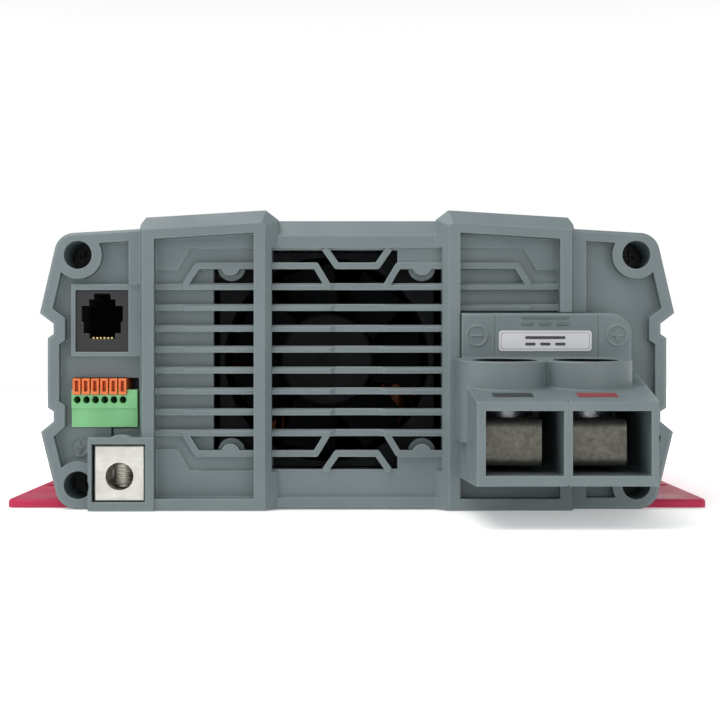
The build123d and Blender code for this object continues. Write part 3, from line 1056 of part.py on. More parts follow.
INPUT_CAP_R, INPUT_CAP_H, BUS_CAP_R, BUS_CAP_H = 6.5, 32.0, 12.5, 38.0
with BuildPart() as input_capacitors:
    cans([(x, y) for x in (44.0, 59.0) for y in (-24.0, -8.0)], INPUT_CAP_R, INPUT_CAP_H)
input_capacitors.part.label = "input_capacitors"
export_step(input_capacitors.part, "parts/input_capacitors.step")

with BuildPart() as bus_capacitors:
    cans([(-38.0, 36.0), (-10.0, 36.0)], BUS_CAP_R, BUS_CAP_H)
bus_capacitors.part.label = "bus_capacitors"
export_step(bus_capacitors.part, "parts/bus_capacitors.step")

# Heat-spreader bars with the power transistors clipped to their inner faces.
BAR_X, BAR_WIDE, BAR_HIGH, BAR_Y = 62.0, 8.0, 34.0, (30.0, 112.0)
TRANSISTOR_W, TRANSISTOR_T, TRANSISTOR_H, TRANSISTOR_COUNT = 10.0, 4.5, 15.5, 6
with BuildPart() as heat_spreaders:
    for side in (-1, 1):
        block(side * (BAR_X - BAR_WIDE / 2), BAR_Y[0], BOARD_TOP,
              side * (BAR_X + BAR_WIDE / 2), BAR_Y[1], BOARD_TOP + BAR_HIGH)
heat_spreaders.part.label = "heat_spreaders"
export_step(heat_spreaders.part, "parts/heat_spreaders.step")

with BuildPart() as power_transistors:
    inner_x = BAR_X - BAR_WIDE / 2 - TRANSISTOR_T / 2
    with Locations((-inner_x, sum(BAR_Y) / 2, BOARD_TOP + 8 + TRANSISTOR_H / 2),
                   (inner_x, sum(BAR_Y) / 2, BOARD_TOP + 8 + TRANSISTOR_H / 2)):
        with GridLocations(1, (BAR_Y[1] - BAR_Y[0]) / TRANSISTOR_COUNT, 1, TRANSISTOR_COUNT):
            Box(TRANSISTOR_T, TRANSISTOR_W, TRANSISTOR_H)
power_transistors.part.label = "power_transistors"
export_step(power_transistors.part, "parts/power_transistors.step")

# Output choke: a toroid lying on the board inside its copper winding.
CHOKE_PLACE, CHOKE_R, CHOKE_SECTION = (16.0, 82.0), 15.0, 6.5
with BuildPart() as choke_core:
    with BuildSketch(Plane.XZ.offset(-CHOKE_PLACE[1])):
        with Locations((CHOKE_PLACE[0] + CHOKE_R, BOARD_TOP + CHOKE_SECTION + 2)):
            Rectangle(CHOKE_SECTION * 1.2, CHOKE_SECTION * 1.5)
    revolve(axis=Axis((CHOKE_PLACE[0], CHOKE_PLACE[1], 0), (0, 0, 1)))
choke_core.part.label = "choke_core"
export_step(choke_core.part, "parts/choke_core.step")

with BuildPart() as choke_winding:
    with BuildSketch(Plane.XZ.offset(-CHOKE_PLACE[1])):
        with Locations((CHOKE_PLACE[0] + CHOKE_R, BOARD_TOP + CHOKE_SECTION + 2)):
            Circle(CHOKE_SECTION + 1.2)
            Rectangle(CHOKE_SECTION * 1.2, CHOKE_SECTION * 1.5, mode=Mode.SUBTRACT)
    revolve(axis=Axis((CHOKE_PLACE[0], CHOKE_PLACE[1], 0), (0, 0, 1)))
    block(-100, -200, -5, 100, 200, BOARD_TOP, mode=Mode.SUBTRACT)
choke_winding.part.label = "choke_winding"
export_step(choke_winding.part, "parts/choke_winding.step")

CARD_X, CARD_Y, CARD_H, CARD_T = -24.0, (58.0, 116.0), 44.0, 1.6
with BuildPart() as control_card:
    block(CARD_X - CARD_T / 2, CARD_Y[0], BOARD_TOP, CARD_X + CARD_T / 2, CARD_Y[1], BOARD_TOP + CARD_H)
    for chip_y, chip_z, size in ((74.0, 30.0, 10.0), (96.0, 26.0, 14.0)):
        block(CARD_X + CARD_T / 2, chip_y - size / 2, BOARD_TOP + chip_z - size / 2,
              CARD_X + CARD_T / 2 + 1.4, chip_y + size / 2, BOARD_TOP + chip_z + size / 2)
control_card.part.label = "control_card"
export_step(control_card.part, "parts/control_card.step")
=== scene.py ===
"""A power inverter seen from its battery end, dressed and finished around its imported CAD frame.

The frame holds every part with a size. This script adds the surfaces: moulded plastic, powder coat,
tinned copper and the rest, the small wound and threaded pieces that are too fine for the frame,
and a pale studio with a level camera in front of the battery end.
"""

import logging
import math
from dataclasses import dataclass, field
from enum import Enum

import bpy
import numpy as np
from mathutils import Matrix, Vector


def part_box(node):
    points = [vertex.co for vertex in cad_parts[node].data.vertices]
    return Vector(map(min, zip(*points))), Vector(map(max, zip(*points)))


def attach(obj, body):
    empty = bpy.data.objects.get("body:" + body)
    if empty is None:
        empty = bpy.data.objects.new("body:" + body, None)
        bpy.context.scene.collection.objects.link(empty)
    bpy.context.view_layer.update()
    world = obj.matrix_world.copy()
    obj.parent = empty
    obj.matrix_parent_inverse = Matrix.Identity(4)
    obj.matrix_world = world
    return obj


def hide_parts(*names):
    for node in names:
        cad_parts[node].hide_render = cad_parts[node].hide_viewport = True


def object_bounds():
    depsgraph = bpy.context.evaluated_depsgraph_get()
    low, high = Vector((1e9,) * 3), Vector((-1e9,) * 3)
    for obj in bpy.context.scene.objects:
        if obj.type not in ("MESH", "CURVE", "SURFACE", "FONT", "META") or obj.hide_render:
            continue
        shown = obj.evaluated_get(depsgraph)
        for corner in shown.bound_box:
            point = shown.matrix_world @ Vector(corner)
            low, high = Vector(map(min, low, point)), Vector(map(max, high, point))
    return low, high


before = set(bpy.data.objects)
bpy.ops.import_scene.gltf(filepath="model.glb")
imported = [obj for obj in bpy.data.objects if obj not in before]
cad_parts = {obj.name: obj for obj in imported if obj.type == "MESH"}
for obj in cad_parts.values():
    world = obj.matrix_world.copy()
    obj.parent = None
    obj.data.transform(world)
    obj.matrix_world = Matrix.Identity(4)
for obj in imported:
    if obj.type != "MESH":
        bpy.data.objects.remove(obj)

CAD_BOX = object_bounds()
MM = 0.001
CHASSIS = "chassis"
log = logging.getLogger("inverter")


# ---------------------------------------------------------------- nodes and colours


def linear(hex_colour: str) -> tuple[float, float, float, float]:
    """Turns an sRGB hex colour into the linear colour that a shader takes.

    Args:
        hex_colour: six hex digits with a leading hash.

    Returns:
        Linear red, green, blue and an alpha of 1.
    """
    srgb = [int(hex_colour[i : i + 2], 16) / 255 for i in (1, 3, 5)]
    parts = [c / 12.92 if c <= 0.04045 else ((c + 0.055) / 1.055) ** 2.4 for c in srgb]
    return (*parts, 1.0)


def add_node(
    tree: bpy.types.NodeTree,
    kind: str,
    inputs: dict | None = None,
    **settings: object,
) -> bpy.types.Node:
    """Adds one shader node with its settings, constants and links.

    Args:
        tree: the material's node tree.
        kind: the node's type name.
        inputs: by socket name or number, a constant or another node's output socket.
        settings: the node's own properties.

    Returns:
        The new node.
    """
    node = tree.nodes.new(kind)
    for key, value in settings.items():
        setattr(node, key, value)
    for key, value in (inputs or {}).items():
        if isinstance(value, bpy.types.NodeSocket):
            tree.links.new(value, node.inputs[key])
        else:
            node.inputs[key].default_value = value
    return node


class Along(Enum):
    """The direction in which a stretched pattern runs, as the share of detail along X, Y and Z."""

    X = (0.04, 1.0, 1.0)
    Y = (1.0, 0.04, 1.0)
    Z = (1.0, 1.0, 0.04)
    ALL = (1.0, 1.0, 1.0)


@dataclass(frozen=True)
class Finish:
    """A solid surface: two close colours in soft patches, a fine grain, and rounded edges with a
    painted highlight along them.
    """

    name: str
    colour: str
    shade: str
    roughness: float = 0.5
    roughness_spread: float = 0.08
    metallic: float = 0.0
    ior: float = 1.5
    patch_mm: float = 14.0
    grain_mm: float = 0.6
    grain_depth_mm: float = 0.01
    grain_along: Along = Along.ALL
    edge_mm: float = 0.35
    # The edge colour is a painted highlight, mixed in towards the rounded edges up to the edge
    # share.
    edge_highlight_colour: str = ""
    edge_highlight_share: float = 0.5
    coat: float = 0.0
    coat_roughness: float = 0.2
    subsurface: float = 0.0
    emission: float = 0.0

    def noise(
        self, tree: bpy.types.NodeTree, place: object, size_mm: float, detail: float = 2.0
    ) -> bpy.types.NodeSocket:
        """Makes a noise whose blobs are about size_mm across, and returns its value."""
        return add_node(
            tree,
            "ShaderNodeTexNoise",
            {"Vector": place, "Scale": 1 / (size_mm * MM), "Detail": detail},
        ).outputs["Fac"]

    def ramp(
        self, tree: bpy.types.NodeTree, value: object, low: float, high: float
    ) -> bpy.types.NodeSocket:
        """Spreads the middle of a 0 to 1 pattern between low and high, and returns the result."""
        return add_node(
            tree,
            "ShaderNodeMapRange",
            {"Value": value, "From Min": 0.3, "From Max": 0.7, "To Min": low, "To Max": high},
        ).outputs["Result"]

    def mix(
        self, tree: bpy.types.NodeTree, share: object, first: object, second: object
    ) -> bpy.types.NodeSocket:
        """Mixes two colours by share, and returns the mixed colour."""
        return add_node(
            tree,
            "ShaderNodeMix",
            {"Factor": share, 6: first, 7: second},
            data_type="RGBA",
        ).outputs[2]

    def base_colour(self, tree: bpy.types.NodeTree, place: object) -> object:
        """Returns the colour before edges: soft patches of colour and shade."""
        patches = self.ramp(tree, self.noise(tree, place, self.patch_mm, 4.0), 0.0, 1.0)
        return self.mix(tree, patches, linear(self.colour), linear(self.shade))

    def height(self, tree: bpy.types.NodeTree, place: object) -> object:
        """Returns the surface's height pattern, from 0 to 1: a grain stretched along one axis."""
        stretched = add_node(
            tree, "ShaderNodeMapping", {"Vector": place, "Scale": self.grain_along.value}
        )
        return self.noise(tree, stretched.outputs[0], self.grain_mm, 3.0)

    def material(self) -> bpy.types.Material:
        """Builds the material once and returns it, or returns the one already made."""
        made = bpy.data.materials.get(f"finish_{self.name}")
        if made:
            return made
        made = bpy.data.materials.new(f"finish_{self.name}")
        made.use_nodes = True
        tree = made.node_tree
        tree.nodes.clear()
        place = add_node(tree, "ShaderNodeTexCoord").outputs["Object"]
        rounded = add_node(
            tree, "ShaderNodeBevel", {"Radius": self.edge_mm * MM}, samples=4
        ).outputs[0]
        colour = self.base_colour(tree, place)
        # Painted highlight: near an edge, where the rounded normal turns away from the flat one,
        # the colour is mixed towards the lighter edge colour.
        if self.edge_highlight_colour:
            flat = add_node(tree, "ShaderNodeNewGeometry").outputs["Normal"]
            facing = add_node(
                tree, "ShaderNodeVectorMath", {0: rounded, 1: flat}, operation="DOT_PRODUCT"
            ).outputs["Value"]
            painted_edge_highlight = add_node(
                tree,
                "ShaderNodeMapRange",
                {"Value": facing, "From Min": 0.995, "From Max": 0.8, "To Max": self.edge_highlight_share},
            ).outputs["Result"]
            colour = self.mix(tree, painted_edge_highlight, colour, linear(self.edge_highlight_colour))
        uneven = self.ramp(
            tree,
            self.noise(tree, place, self.patch_mm * 0.4),
            self.roughness - self.roughness_spread,
            self.roughness + self.roughness_spread,
        )
        bump = add_node(
            tree,
            "ShaderNodeBump",
            {
                "Height": self.height(tree, place),
                "Distance": self.grain_depth_mm * MM,
                "Normal": rounded,
            },
        ).outputs["Normal"]
        shader = add_node(
            tree,
            "ShaderNodeBsdfPrincipled",
            {
                "Base Color": colour,
                "Roughness": uneven,
                "Metallic": self.metallic,
                "Normal": bump,
                "Coat Weight": self.coat,
                "Coat Roughness": self.coat_roughness,
                "Subsurface Weight": self.subsurface,
                "Subsurface Scale": 1.5 * MM,
            },
        )
        if not self.metallic:
            shader.inputs["IOR"].default_value = self.ior
        if self.emission:
            shader.inputs["Emission Color"].default_value = linear(self.colour)
            shader.inputs["Emission Strength"].default_value = self.emission
        add_node(tree, "ShaderNodeOutputMaterial", {"Surface": shader.outputs[0]})
        return made


@dataclass(frozen=True)
class LayeredCoat(Finish):
    """Baked powder coat: a hard skin over metal, whose slow waves are its orange peel."""

    peel_mm: float = 1.6

    def height(self, tree: bpy.types.NodeTree, place: object) -> object:
        """Returns orange peel, soft waves a little over a millimetre across, with fine dust."""
        peel = self.noise(tree, place, self.peel_mm, 0.0)
        dust = self.noise(tree, place, self.grain_mm, 2.0)
        return add_node(
            tree, "ShaderNodeMix", {"Factor": 0.2, 2: peel, 3: dust}, data_type="FLOAT"
        ).outputs[0]


@dataclass(frozen=True)
class WornPlate(Finish):
    """Plated or sawn metal: brighter and duller patches, and fine scratches along one axis."""

    def base_colour(self, tree: bpy.types.NodeTree, place: object) -> object:
        """Returns patches crossed by the scratches, which show a little of the shade."""
        stretched = add_node(
            tree, "ShaderNodeMapping", {"Vector": place, "Scale": self.grain_along.value}
        )
        lines = self.ramp(
            tree, self.noise(tree, stretched.outputs[0], self.grain_mm, 4.0), 0.0, 0.55
        )
        patches = self.ramp(tree, self.noise(tree, place, self.patch_mm, 5.0), 0.0, 1.0)
        blotched = self.mix(tree, patches, linear(self.colour), linear(self.shade))
        return self.mix(tree, lines, blotched, linear(self.shade))


@dataclass(frozen=True)
class EtchedBoard(Finish):
    """Fibreglass circuit board: green mask over copper tracks that stand up a few hundredths."""

    track_mm: float = 2.4

    def tracks(self, tree: bpy.types.NodeTree, place: object) -> bpy.types.NodeSocket:
        """Returns 1 on a track and 0 between: cells on a square grid, cut by thin gaps."""
        return add_node(
            tree,
            "ShaderNodeTexBrick",
            {"Vector": place, "Scale": 1 / (self.track_mm * MM), "Mortar Size": 0.09},
        ).outputs["Fac"]

    def base_colour(self, tree: bpy.types.NodeTree, place: object) -> object:
        """Returns the mask's green over copper, darker in the gaps between tracks."""
        return self.mix(
            tree, self.tracks(tree, place), linear(self.colour), linear(self.shade)
        )

    def height(self, tree: bpy.types.NodeTree, place: object) -> object:
        """Returns the tracks' own thickness as height."""
        return self.tracks(tree, place)


@dataclass(frozen=True)
class WoundTurns(Finish):
    """Enamelled wire or a printed sleeve: bands along one axis, rounded like wires side by side."""

    turn_mm: float = 1.2
    axis: str = "Y"

    def turns(self, tree: bpy.types.NodeTree, place: object) -> bpy.types.NodeSocket:
        """Returns a sine wave with one crest to each turn."""
        return add_node(
            tree,
            "ShaderNodeTexWave",
            # a wave texture repeats every pi/10 of its scale
            {"Vector": place, "Scale": math.pi / 10 / (self.turn_mm * MM), "Distortion": 0.0},
            bands_direction=self.axis,
        ).outputs["Fac"]

    def base_colour(self, tree: bpy.types.NodeTree, place: object) -> object:
        """Returns the colour on the crests and a darker colour in the grooves as painted shade."""
        return self.mix(
            tree, self.turns(tree, place), linear(self.shade), linear(self.colour)
        )

    def height(self, tree: bpy.types.NodeTree, place: object) -> object:
        """Returns the turns' own roundness as height."""
        return self.turns(tree, place)


# Glass-filled ABS from a spark-eroded mould: matt, faintly mottled, with a painted highlight along
# its edges.
GREY_ABS = Finish(
    "grey_spark_eroded_abs", "#6E7A7C", "#667275", roughness=0.46, patch_mm=22.0,
    grain_mm=0.7, grain_depth_mm=0.03, edge_mm=0.6, edge_highlight_colour="#A9B3B4", edge_highlight_share=0.6,
)
# Polyester powder coat on folded steel: even deep pinkish red with a soft gloss and orange peel.
CRIMSON_COAT = LayeredCoat(
    "crimson_powder_coat", "#BC2850", "#A81F45", roughness=0.6, patch_mm=30.0,
    grain_mm=0.35, grain_depth_mm=0.03, edge_mm=0.4, edge_highlight_colour="#D24E72", edge_highlight_share=0.5,
    ior=1.4,
)
# Tin plate on copper bar: soft silver, slightly warm, with handling marks and dull patches.
TIN_PLATE = WornPlate(
    "tinned_copper_bar", "#E4E3DE", "#C2C0B8", roughness=0.4, roughness_spread=0.1,
    metallic=1.0, patch_mm=5.0, grain_mm=0.5, grain_depth_mm=0.02, grain_along=Along.X,
    edge_mm=0.3, edge_highlight_colour="#F2F1EC", edge_highlight_share=0.7,
)
# Tin plate on the terminals: rougher than on the lug, and darker and greyer as painted shade for
# the shroud's mouth.
TIN_WITH_PAINTED_SHADE = WornPlate(
    "tinned_terminal_painted_shade", "#7C7B72", "#5E5D56", roughness=0.55, roughness_spread=0.1,
    metallic=0.9, patch_mm=1.4, grain_mm=0.45, grain_depth_mm=0.05,
    edge_mm=0.3, edge_highlight_colour="#C4C2B9", edge_highlight_share=0.6,
)
# Bright zinc on steel fasteners: cool, fairly sharp reflections, darker in the recesses.
ZINC_STEEL = WornPlate(
    "zinc_plated_steel", "#C4C6C8", "#9EA1A4", roughness=0.3, metallic=1.0, patch_mm=3.0,
    grain_mm=0.3, grain_depth_mm=0.01, edge_mm=0.15, edge_highlight_colour="#ECEEF0",
)
# Black oxide screws: nearly black with an oily low sheen and a painted highlight along their edges.
BLACK_OXIDE = WornPlate(
    "black_oxide_screw", "#1B1C1E", "#101113", roughness=0.42, metallic=0.6, patch_mm=2.0,
    grain_mm=0.3, grain_depth_mm=0.01, edge_mm=0.15, edge_highlight_colour="#4A4C50", edge_highlight_share=0.5,
)
# Black nylon 66: charcoal with a soft gloss and a fine moulded grain.
BLACK_NYLON = Finish(
    "black_nylon", "#202023", "#19191B", roughness=0.42, grain_mm=0.4, grain_depth_mm=0.012,
    edge_mm=0.3, edge_highlight_colour="#6E7074", edge_highlight_share=0.5,
)
# Hard gold on the jack's spring contacts: small warm glints.
GOLD_PLATE = Finish(
    "hard_gold_plate", "#F2DA92", "#DCC078", roughness=0.22, metallic=1.0, patch_mm=1.0,
    grain_mm=0.2, grain_depth_mm=0.004, edge_mm=0.08,
)
# Green polyamide plug: a clean light green whose thin walls let a little light through.
GREEN_NYLON = Finish(
    "green_polyamide", "#7DC286", "#6FB47A", roughness=0.38, patch_mm=9.0, grain_mm=0.4,
    grain_depth_mm=0.008, edge_mm=0.25, edge_highlight_colour="#B5E0B8", edge_highlight_share=0.5, subsurface=0.08,
)
# Orange polyamide release levers, moulded glossier than the plug that holds them.
ORANGE_NYLON = Finish(
    "orange_polyamide", "#EC7A3A", "#DD6A2B", roughness=0.34, patch_mm=5.0, grain_mm=0.4,
    grain_depth_mm=0.006, edge_mm=0.15, edge_highlight_colour="#F7A873", edge_highlight_share=0.5, subsurface=0.06,
)
# Glass-filled polyester of the fan: very dark, with a satin surface.
FAN_POLYESTER = Finish(
    "black_fan_polyester", "#131517", "#0D0F10", roughness=0.55, ior=1.22, grain_mm=0.5,
    grain_depth_mm=0.012, edge_mm=0.3, edge_highlight_colour="#2C2E31", edge_highlight_share=0.4,
)
# Matt white polyester film, printed: flat, with the faintest tooth.
LABEL_FILM = Finish(
    "white_label_film", "#D9D9DA", "#CFD0D2", roughness=0.42, patch_mm=10.0, grain_mm=0.25,
    grain_depth_mm=0.003, edge_mm=0.08, coat=0.1,
)
# Screen-printed black ink, slightly glossy and a touch uneven.
BLACK_INK = Finish(
    "black_print", "#3A3B3F", "#303135", roughness=0.4, patch_mm=2.0, grain_mm=0.3,
    grain_depth_mm=0.004, edge_mm=0.05,
)
# Thin grey rule printed round the label's edge.
GREY_INK = Finish(
    "grey_print", "#A3A4A8", "#9A9B9F", roughness=0.45, patch_mm=2.0, grain_mm=0.3,
    grain_depth_mm=0.004, edge_mm=0.05,
)
# Matt near-black surface for pieces that stand in for shade: painted shade, so an opening lined
# with it reads as black.
PAINTED_SHADE_BLACK = Finish(
    "matt_black_painted_shade", "#0C0D0E", "#080909", roughness=0.9, ior=1.2, patch_mm=3.0,
    grain_mm=0.4, grain_depth_mm=0.02, edge_mm=0.1,
)
# Reticulated foam behind the rear grille: near black, open and coarse.
FILTER_FOAM = Finish(
    "filter_foam", "#141516", "#0B0C0C", roughness=0.95, patch_mm=3.0, grain_mm=1.2,
    grain_depth_mm=0.5, edge_mm=0.2,
)
# Red ABS polarity marker.
RED_ABS = Finish(
    "red_abs_marker", "#96363A", "#862E32", roughness=0.4, patch_mm=4.0, grain_mm=0.4,
    grain_depth_mm=0.01, edge_mm=0.25, edge_highlight_colour="#B0565A",
)
# Enamelled copper wire: glossy amber brown, one crest to each turn, with painted shade in the
# grooves between turns.
ENAMELLED_WIRE = WoundTurns(
    "enamelled_copper_wire", "#B9683A", "#6A3016", roughness=0.25, metallic=0.8, turn_mm=1.4,
    grain_depth_mm=0.35, edge_mm=0.2, coat=0.5,
)
# Plain enamelled wire for turns that are modelled one by one.
DRAWN_WIRE = Finish(
    "drawn_enamelled_wire", "#BD6C3C", "#9A5028", roughness=0.25, metallic=0.85, patch_mm=6.0,
    grain_mm=0.4, grain_depth_mm=0.01, edge_mm=0.1, coat=0.5,
)
# Sintered ferrite: dark grey ceramic, matt and slightly chalky.
FERRITE = Finish(
    "sintered_ferrite", "#3C3D40", "#2F3033", roughness=0.7, patch_mm=4.0, grain_mm=0.3,
    grain_depth_mm=0.02, edge_mm=0.3, edge_highlight_colour="#66686C",
)
# Circuit board under green solder mask.
CIRCUIT_BOARD = EtchedBoard(
    "solder_masked_board", "#1F6A41", "#124A2C", roughness=0.35, grain_depth_mm=0.06,
    edge_mm=0.15, coat=0.3,
)
# Shrink sleeve on the capacitors: dark blue-black film, glossy.
CAPACITOR_SLEEVE = Finish(
    "pvc_shrink_sleeve", "#232A3D", "#1C2233", roughness=0.28, patch_mm=8.0, grain_mm=0.8,
    grain_depth_mm=0.02, edge_mm=0.4, edge_highlight_colour="#4C556E", coat=0.3,
)
# Extruded aluminium as it leaves the mill: satin, with drawing lines along its length.
MILL_ALUMINIUM = WornPlate(
    "mill_finish_aluminium", "#C9CBCD", "#ABAEB1", roughness=0.38, metallic=1.0, patch_mm=20.0,
    grain_mm=0.5, grain_depth_mm=0.012, grain_along=Along.Y, edge_mm=0.2, edge_highlight_colour="#EEF0F2",
)
# Moulded epoxy transistor bodies: black, matt, a little speckled.
EPOXY_BODY = Finish(
    "moulded_epoxy", "#242527", "#1C1D1F", roughness=0.55, patch_mm=3.0, grain_mm=0.3,
    grain_depth_mm=0.015, edge_mm=0.2, edge_highlight_colour="#4E5054",
)
# Tinted polycarbonate fuse bodies.
FUSE_BODY = Finish(
    "tinted_polycarbonate", "#2C9A63", "#23824F", roughness=0.2, patch_mm=6.0, grain_mm=0.6,
    grain_depth_mm=0.006, edge_mm=0.3, subsurface=0.1, coat=0.2,
)
# Vulcanised fibre sheet: pale grey-green card with long fibres.
FIBRE_SHEET = Finish(
    "vulcanised_fibre", "#C9CDBE", "#B9BDAE", roughness=0.75, patch_mm=9.0, grain_mm=0.8,
    grain_depth_mm=0.03, grain_along=Along.Y, edge_mm=0.1,
)
# Clear tinted lamp lenses, unlit, so only their colour and gloss show.
GREEN_LENS = Finish(
    "green_lamp_lens", "#3CBF5E", "#2FA64E", roughness=0.15, patch_mm=2.0, grain_mm=0.6,
    grain_depth_mm=0.004, edge_mm=0.3, subsurface=0.3, emission=0.15,
)
RED_LENS = Finish(
    "red_lamp_lens", "#C92B26", "#AE211D", roughness=0.15, patch_mm=2.0, grain_mm=0.6,
    grain_depth_mm=0.004, edge_mm=0.3, subsurface=0.3,
)
# Seamless studio paper: nearly white and matt.
STUDIO_PAPER = Finish(
    "studio_paper", "#F7F7F7", "#F3F3F3", roughness=0.9, patch_mm=300.0, grain_mm=2.0,
    grain_depth_mm=0.01, edge_mm=0.1, emission=0.32,
)

SLOT_FINISHES: dict[str, Finish] = {
    "grey_moulding": GREY_ABS,
    "crimson_powder_coat": CRIMSON_COAT,
    "tinned_copper": TIN_PLATE,
    "zinc_steel": ZINC_STEEL,
    "black_screw": BLACK_OXIDE,
    "black_moulding": BLACK_NYLON,
    "gold_plate": GOLD_PLATE,
    "green_moulding": GREEN_NYLON,
    "orange_moulding": ORANGE_NYLON,
    "fan_moulding": FAN_POLYESTER,
    "label_film": LABEL_FILM,
    "black_ink": BLACK_INK,
    "red_ink": RED_ABS,
    "copper_winding": ENAMELLED_WIRE,
    "ferrite": FERRITE,
    "circuit_board": CIRCUIT_BOARD,
    "capacitor_sleeve": CAPACITOR_SLEEVE,
    "mill_aluminium": MILL_ALUMINIUM,
    "epoxy": EPOXY_BODY,
    "fuse_plastic": FUSE_BODY,
    "fibre_sheet": FIBRE_SHEET,
    "lamp_green": GREEN_LENS,
    "lamp_red": RED_LENS,
}


# ---------------------------------------------------------------- surfaces


def mesh_object(
    name: str, points: np.ndarray, faces: list, finish: Finish, body: str, smooth: bool = False
) -> bpy.types.Object:
    """Makes an object from points and faces, turns it right side out, dresses it and rides it.

    The sign of the volume, the sum of each corner's triple product over its fan of triangles, tells
    whether the faces point outwards.

    Args:
        name: the piece's name.
        points: an array of points, (n, 3), in metres.
        faces: faces as lists of point numbers.
        finish: the surface it gets.
        body: the CAD body that it rides on.
        smooth: whether it is shaded smooth.

    Returns:
        The new object, at the origin.
    """
    flat = points.reshape(-1, 3)
    fans = [(f[0], f[i], f[i + 1]) for f in faces for i in range(1, len(f) - 1)]
    corners = flat[np.array(fans)]
    volume = np.einsum("ij,ij->i", corners[:, 0], np.cross(corners[:, 1], corners[:, 2])).sum()
    if volume < 0:
        faces = [list(reversed(f)) for f in faces]
    mesh = bpy.data.meshes.new(name)
    mesh.from_pydata(flat.tolist(), [], faces)
    mesh.validate()
    mesh.polygons.foreach_set("use_smooth", np.full(len(mesh.polygons), smooth))
    mesh.materials.append(finish.material())
    piece = bpy.data.objects.new(name, mesh)
    bpy.context.scene.collection.objects.link(piece)
    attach(piece, body)
    log.info("piece %s: %d faces on %s", name, len(mesh.polygons), body)
    return piece


def grid_faces(rows: int, columns: int, ring_rows: bool, ring_columns: bool) -> list:
    """Lists the quads of a grid of points, joining the last row or column to the first in a ring.

    Args:
        rows: the number of rows of points.
        columns: the number of points in a row.
        ring_rows: whether the last row joins the first.
        ring_columns: whether each row closes on itself.

    Returns:
        Quads as lists of point numbers.
    """
    r, c = np.meshgrid(
        np.arange(rows - (not ring_rows)), np.arange(columns - (not ring_columns)), indexing="ij"
    )
    r2, c2 = (r + 1) % rows, (c + 1) % columns
    quads = np.stack(
        [r * columns + c, r2 * columns + c, r2 * columns + c2, r * columns + c2], axis=-1
    )
    return quads.reshape(-1, 4).tolist()


def tube_faces(rows: int, columns: int) -> list:
    """Lists the faces of a tube of closed rows, with one face over each end."""
    ends = [list(range(columns)), list(range((rows - 1) * columns, rows * columns))]
    return grid_faces(rows, columns, False, True) + [ends[0][::-1], ends[1]]


def joined(parts: list[tuple[np.ndarray, list]]) -> tuple[np.ndarray, list]:
    """Joins several sets of points and faces into one, moving the face numbers along."""
    points, faces, start = [], [], 0
    for part_points, part_faces in parts:
        flat = part_points.reshape(-1, 3)
        points.append(flat)
        faces += [[start + i for i in face] for face in part_faces]
        start += len(flat)
    return np.concatenate(points), faces


def round_rectangle(width: float, height: float, radius: float, steps: int = 6) -> np.ndarray:
    """Makes a rectangle's outline with quarter-circle corners.

    Each corner's arc is its centre plus radius times (cos, sin) over its own quarter turn.

    Args:
        width: full width.
        height: full height.
        radius: corner radius.
        steps: points on each corner.

    Returns:
        Points (n, 2), anticlockwise.
    """
    turn = np.linspace(0, math.pi / 2, steps)
    quarters = np.arange(4)[:, None] * math.pi / 2 + turn[None, :]
    signs = np.array([(1, 1), (-1, 1), (-1, -1), (1, -1)], float)
    centres = signs * ((width / 2 - radius), (height / 2 - radius))
    arcs = np.stack([np.cos(quarters), np.sin(quarters)], axis=-1) * radius
    return (centres[:, None, :] + arcs).reshape(-1, 2)


def raised_plate(
    outline: np.ndarray, centre: tuple[float, float], back: float, front: float, bevel: float
) -> tuple[np.ndarray, list]:
    """Makes a thin plate that faces the battery end, with a bevel round its front edge.

    Its rows are the outline at the back, at the foot of the bevel, and shrunk towards its middle at
    the front.

    Args:
        outline: points (n, 2) round the plate's middle, in mm.
        centre: x and z of its middle, in mm.
        back: y of its back, in mm.
        front: y of its front, in mm, which is less than back.
        bevel: size of the bevel in mm.

    Returns:
        Points in metres, and faces.
    """
    middle = np.array(centre)
    size = np.abs(outline).max(axis=0)
    shrunk = outline * (1 - bevel / size)
    rows = [(outline, back), (outline, front + bevel), (shrunk, front)]
    points = np.stack(
        [
            np.stack([o[:, 0] + middle[0], np.full(len(o), y), o[:, 1] + middle[1]], axis=-1)
            for o, y in rows
        ]
    )
    return points * MM, tube_faces(len(rows), len(outline))


def swept_tube(path: np.ndarray, radius: float, sides: int = 10) -> tuple[np.ndarray, list]:
    """Carries a circle along an open path and closes both ends.

    At each point the circle is radius times (cos a, sin a) in the plane across the path, whose two
    axes come from crossing the path's direction with a steady side direction.

    Args:
        path: points (n, 3) in mm.
        radius: the tube's radius in mm.
        sides: points round the circle.

    Returns:
        Points in metres, and faces.
    """
    ahead = np.gradient(path, axis=0)
    ahead /= np.linalg.norm(ahead, axis=1, keepdims=True)
    flattest = np.eye(3)[np.abs(ahead).sum(axis=0).argmin()]
    side = np.cross(ahead, flattest)
    side /= np.linalg.norm(side, axis=1, keepdims=True)
    up = np.cross(side, ahead)
    turn = np.linspace(0, 2 * math.pi, sides, endpoint=False)
    cosine, sine = np.cos(turn)[None, :, None], np.sin(turn)[None, :, None]
    ring = cosine * side[:, None, :] + sine * up[:, None, :]
    return (path[:, None, :] + radius * ring) * MM, tube_faces(len(path), sides)


def middle_mm(node: str) -> np.ndarray:
    """Returns the middle of a CAD node's box, in mm."""
    low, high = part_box(node)
    return (np.array(low) + np.array(high)) / 2 / MM


def low_mm(node: str) -> np.ndarray:
    """Returns the lowest corner of a CAD node's box, in mm."""
    return np.array(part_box(node)[0]) / MM


def high_mm(node: str) -> np.ndarray:
    """Returns the highest corner of a CAD node's box, in mm."""
    return np.array(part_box(node)[1]) / MM


# ---------------------------------------------------------------- the object


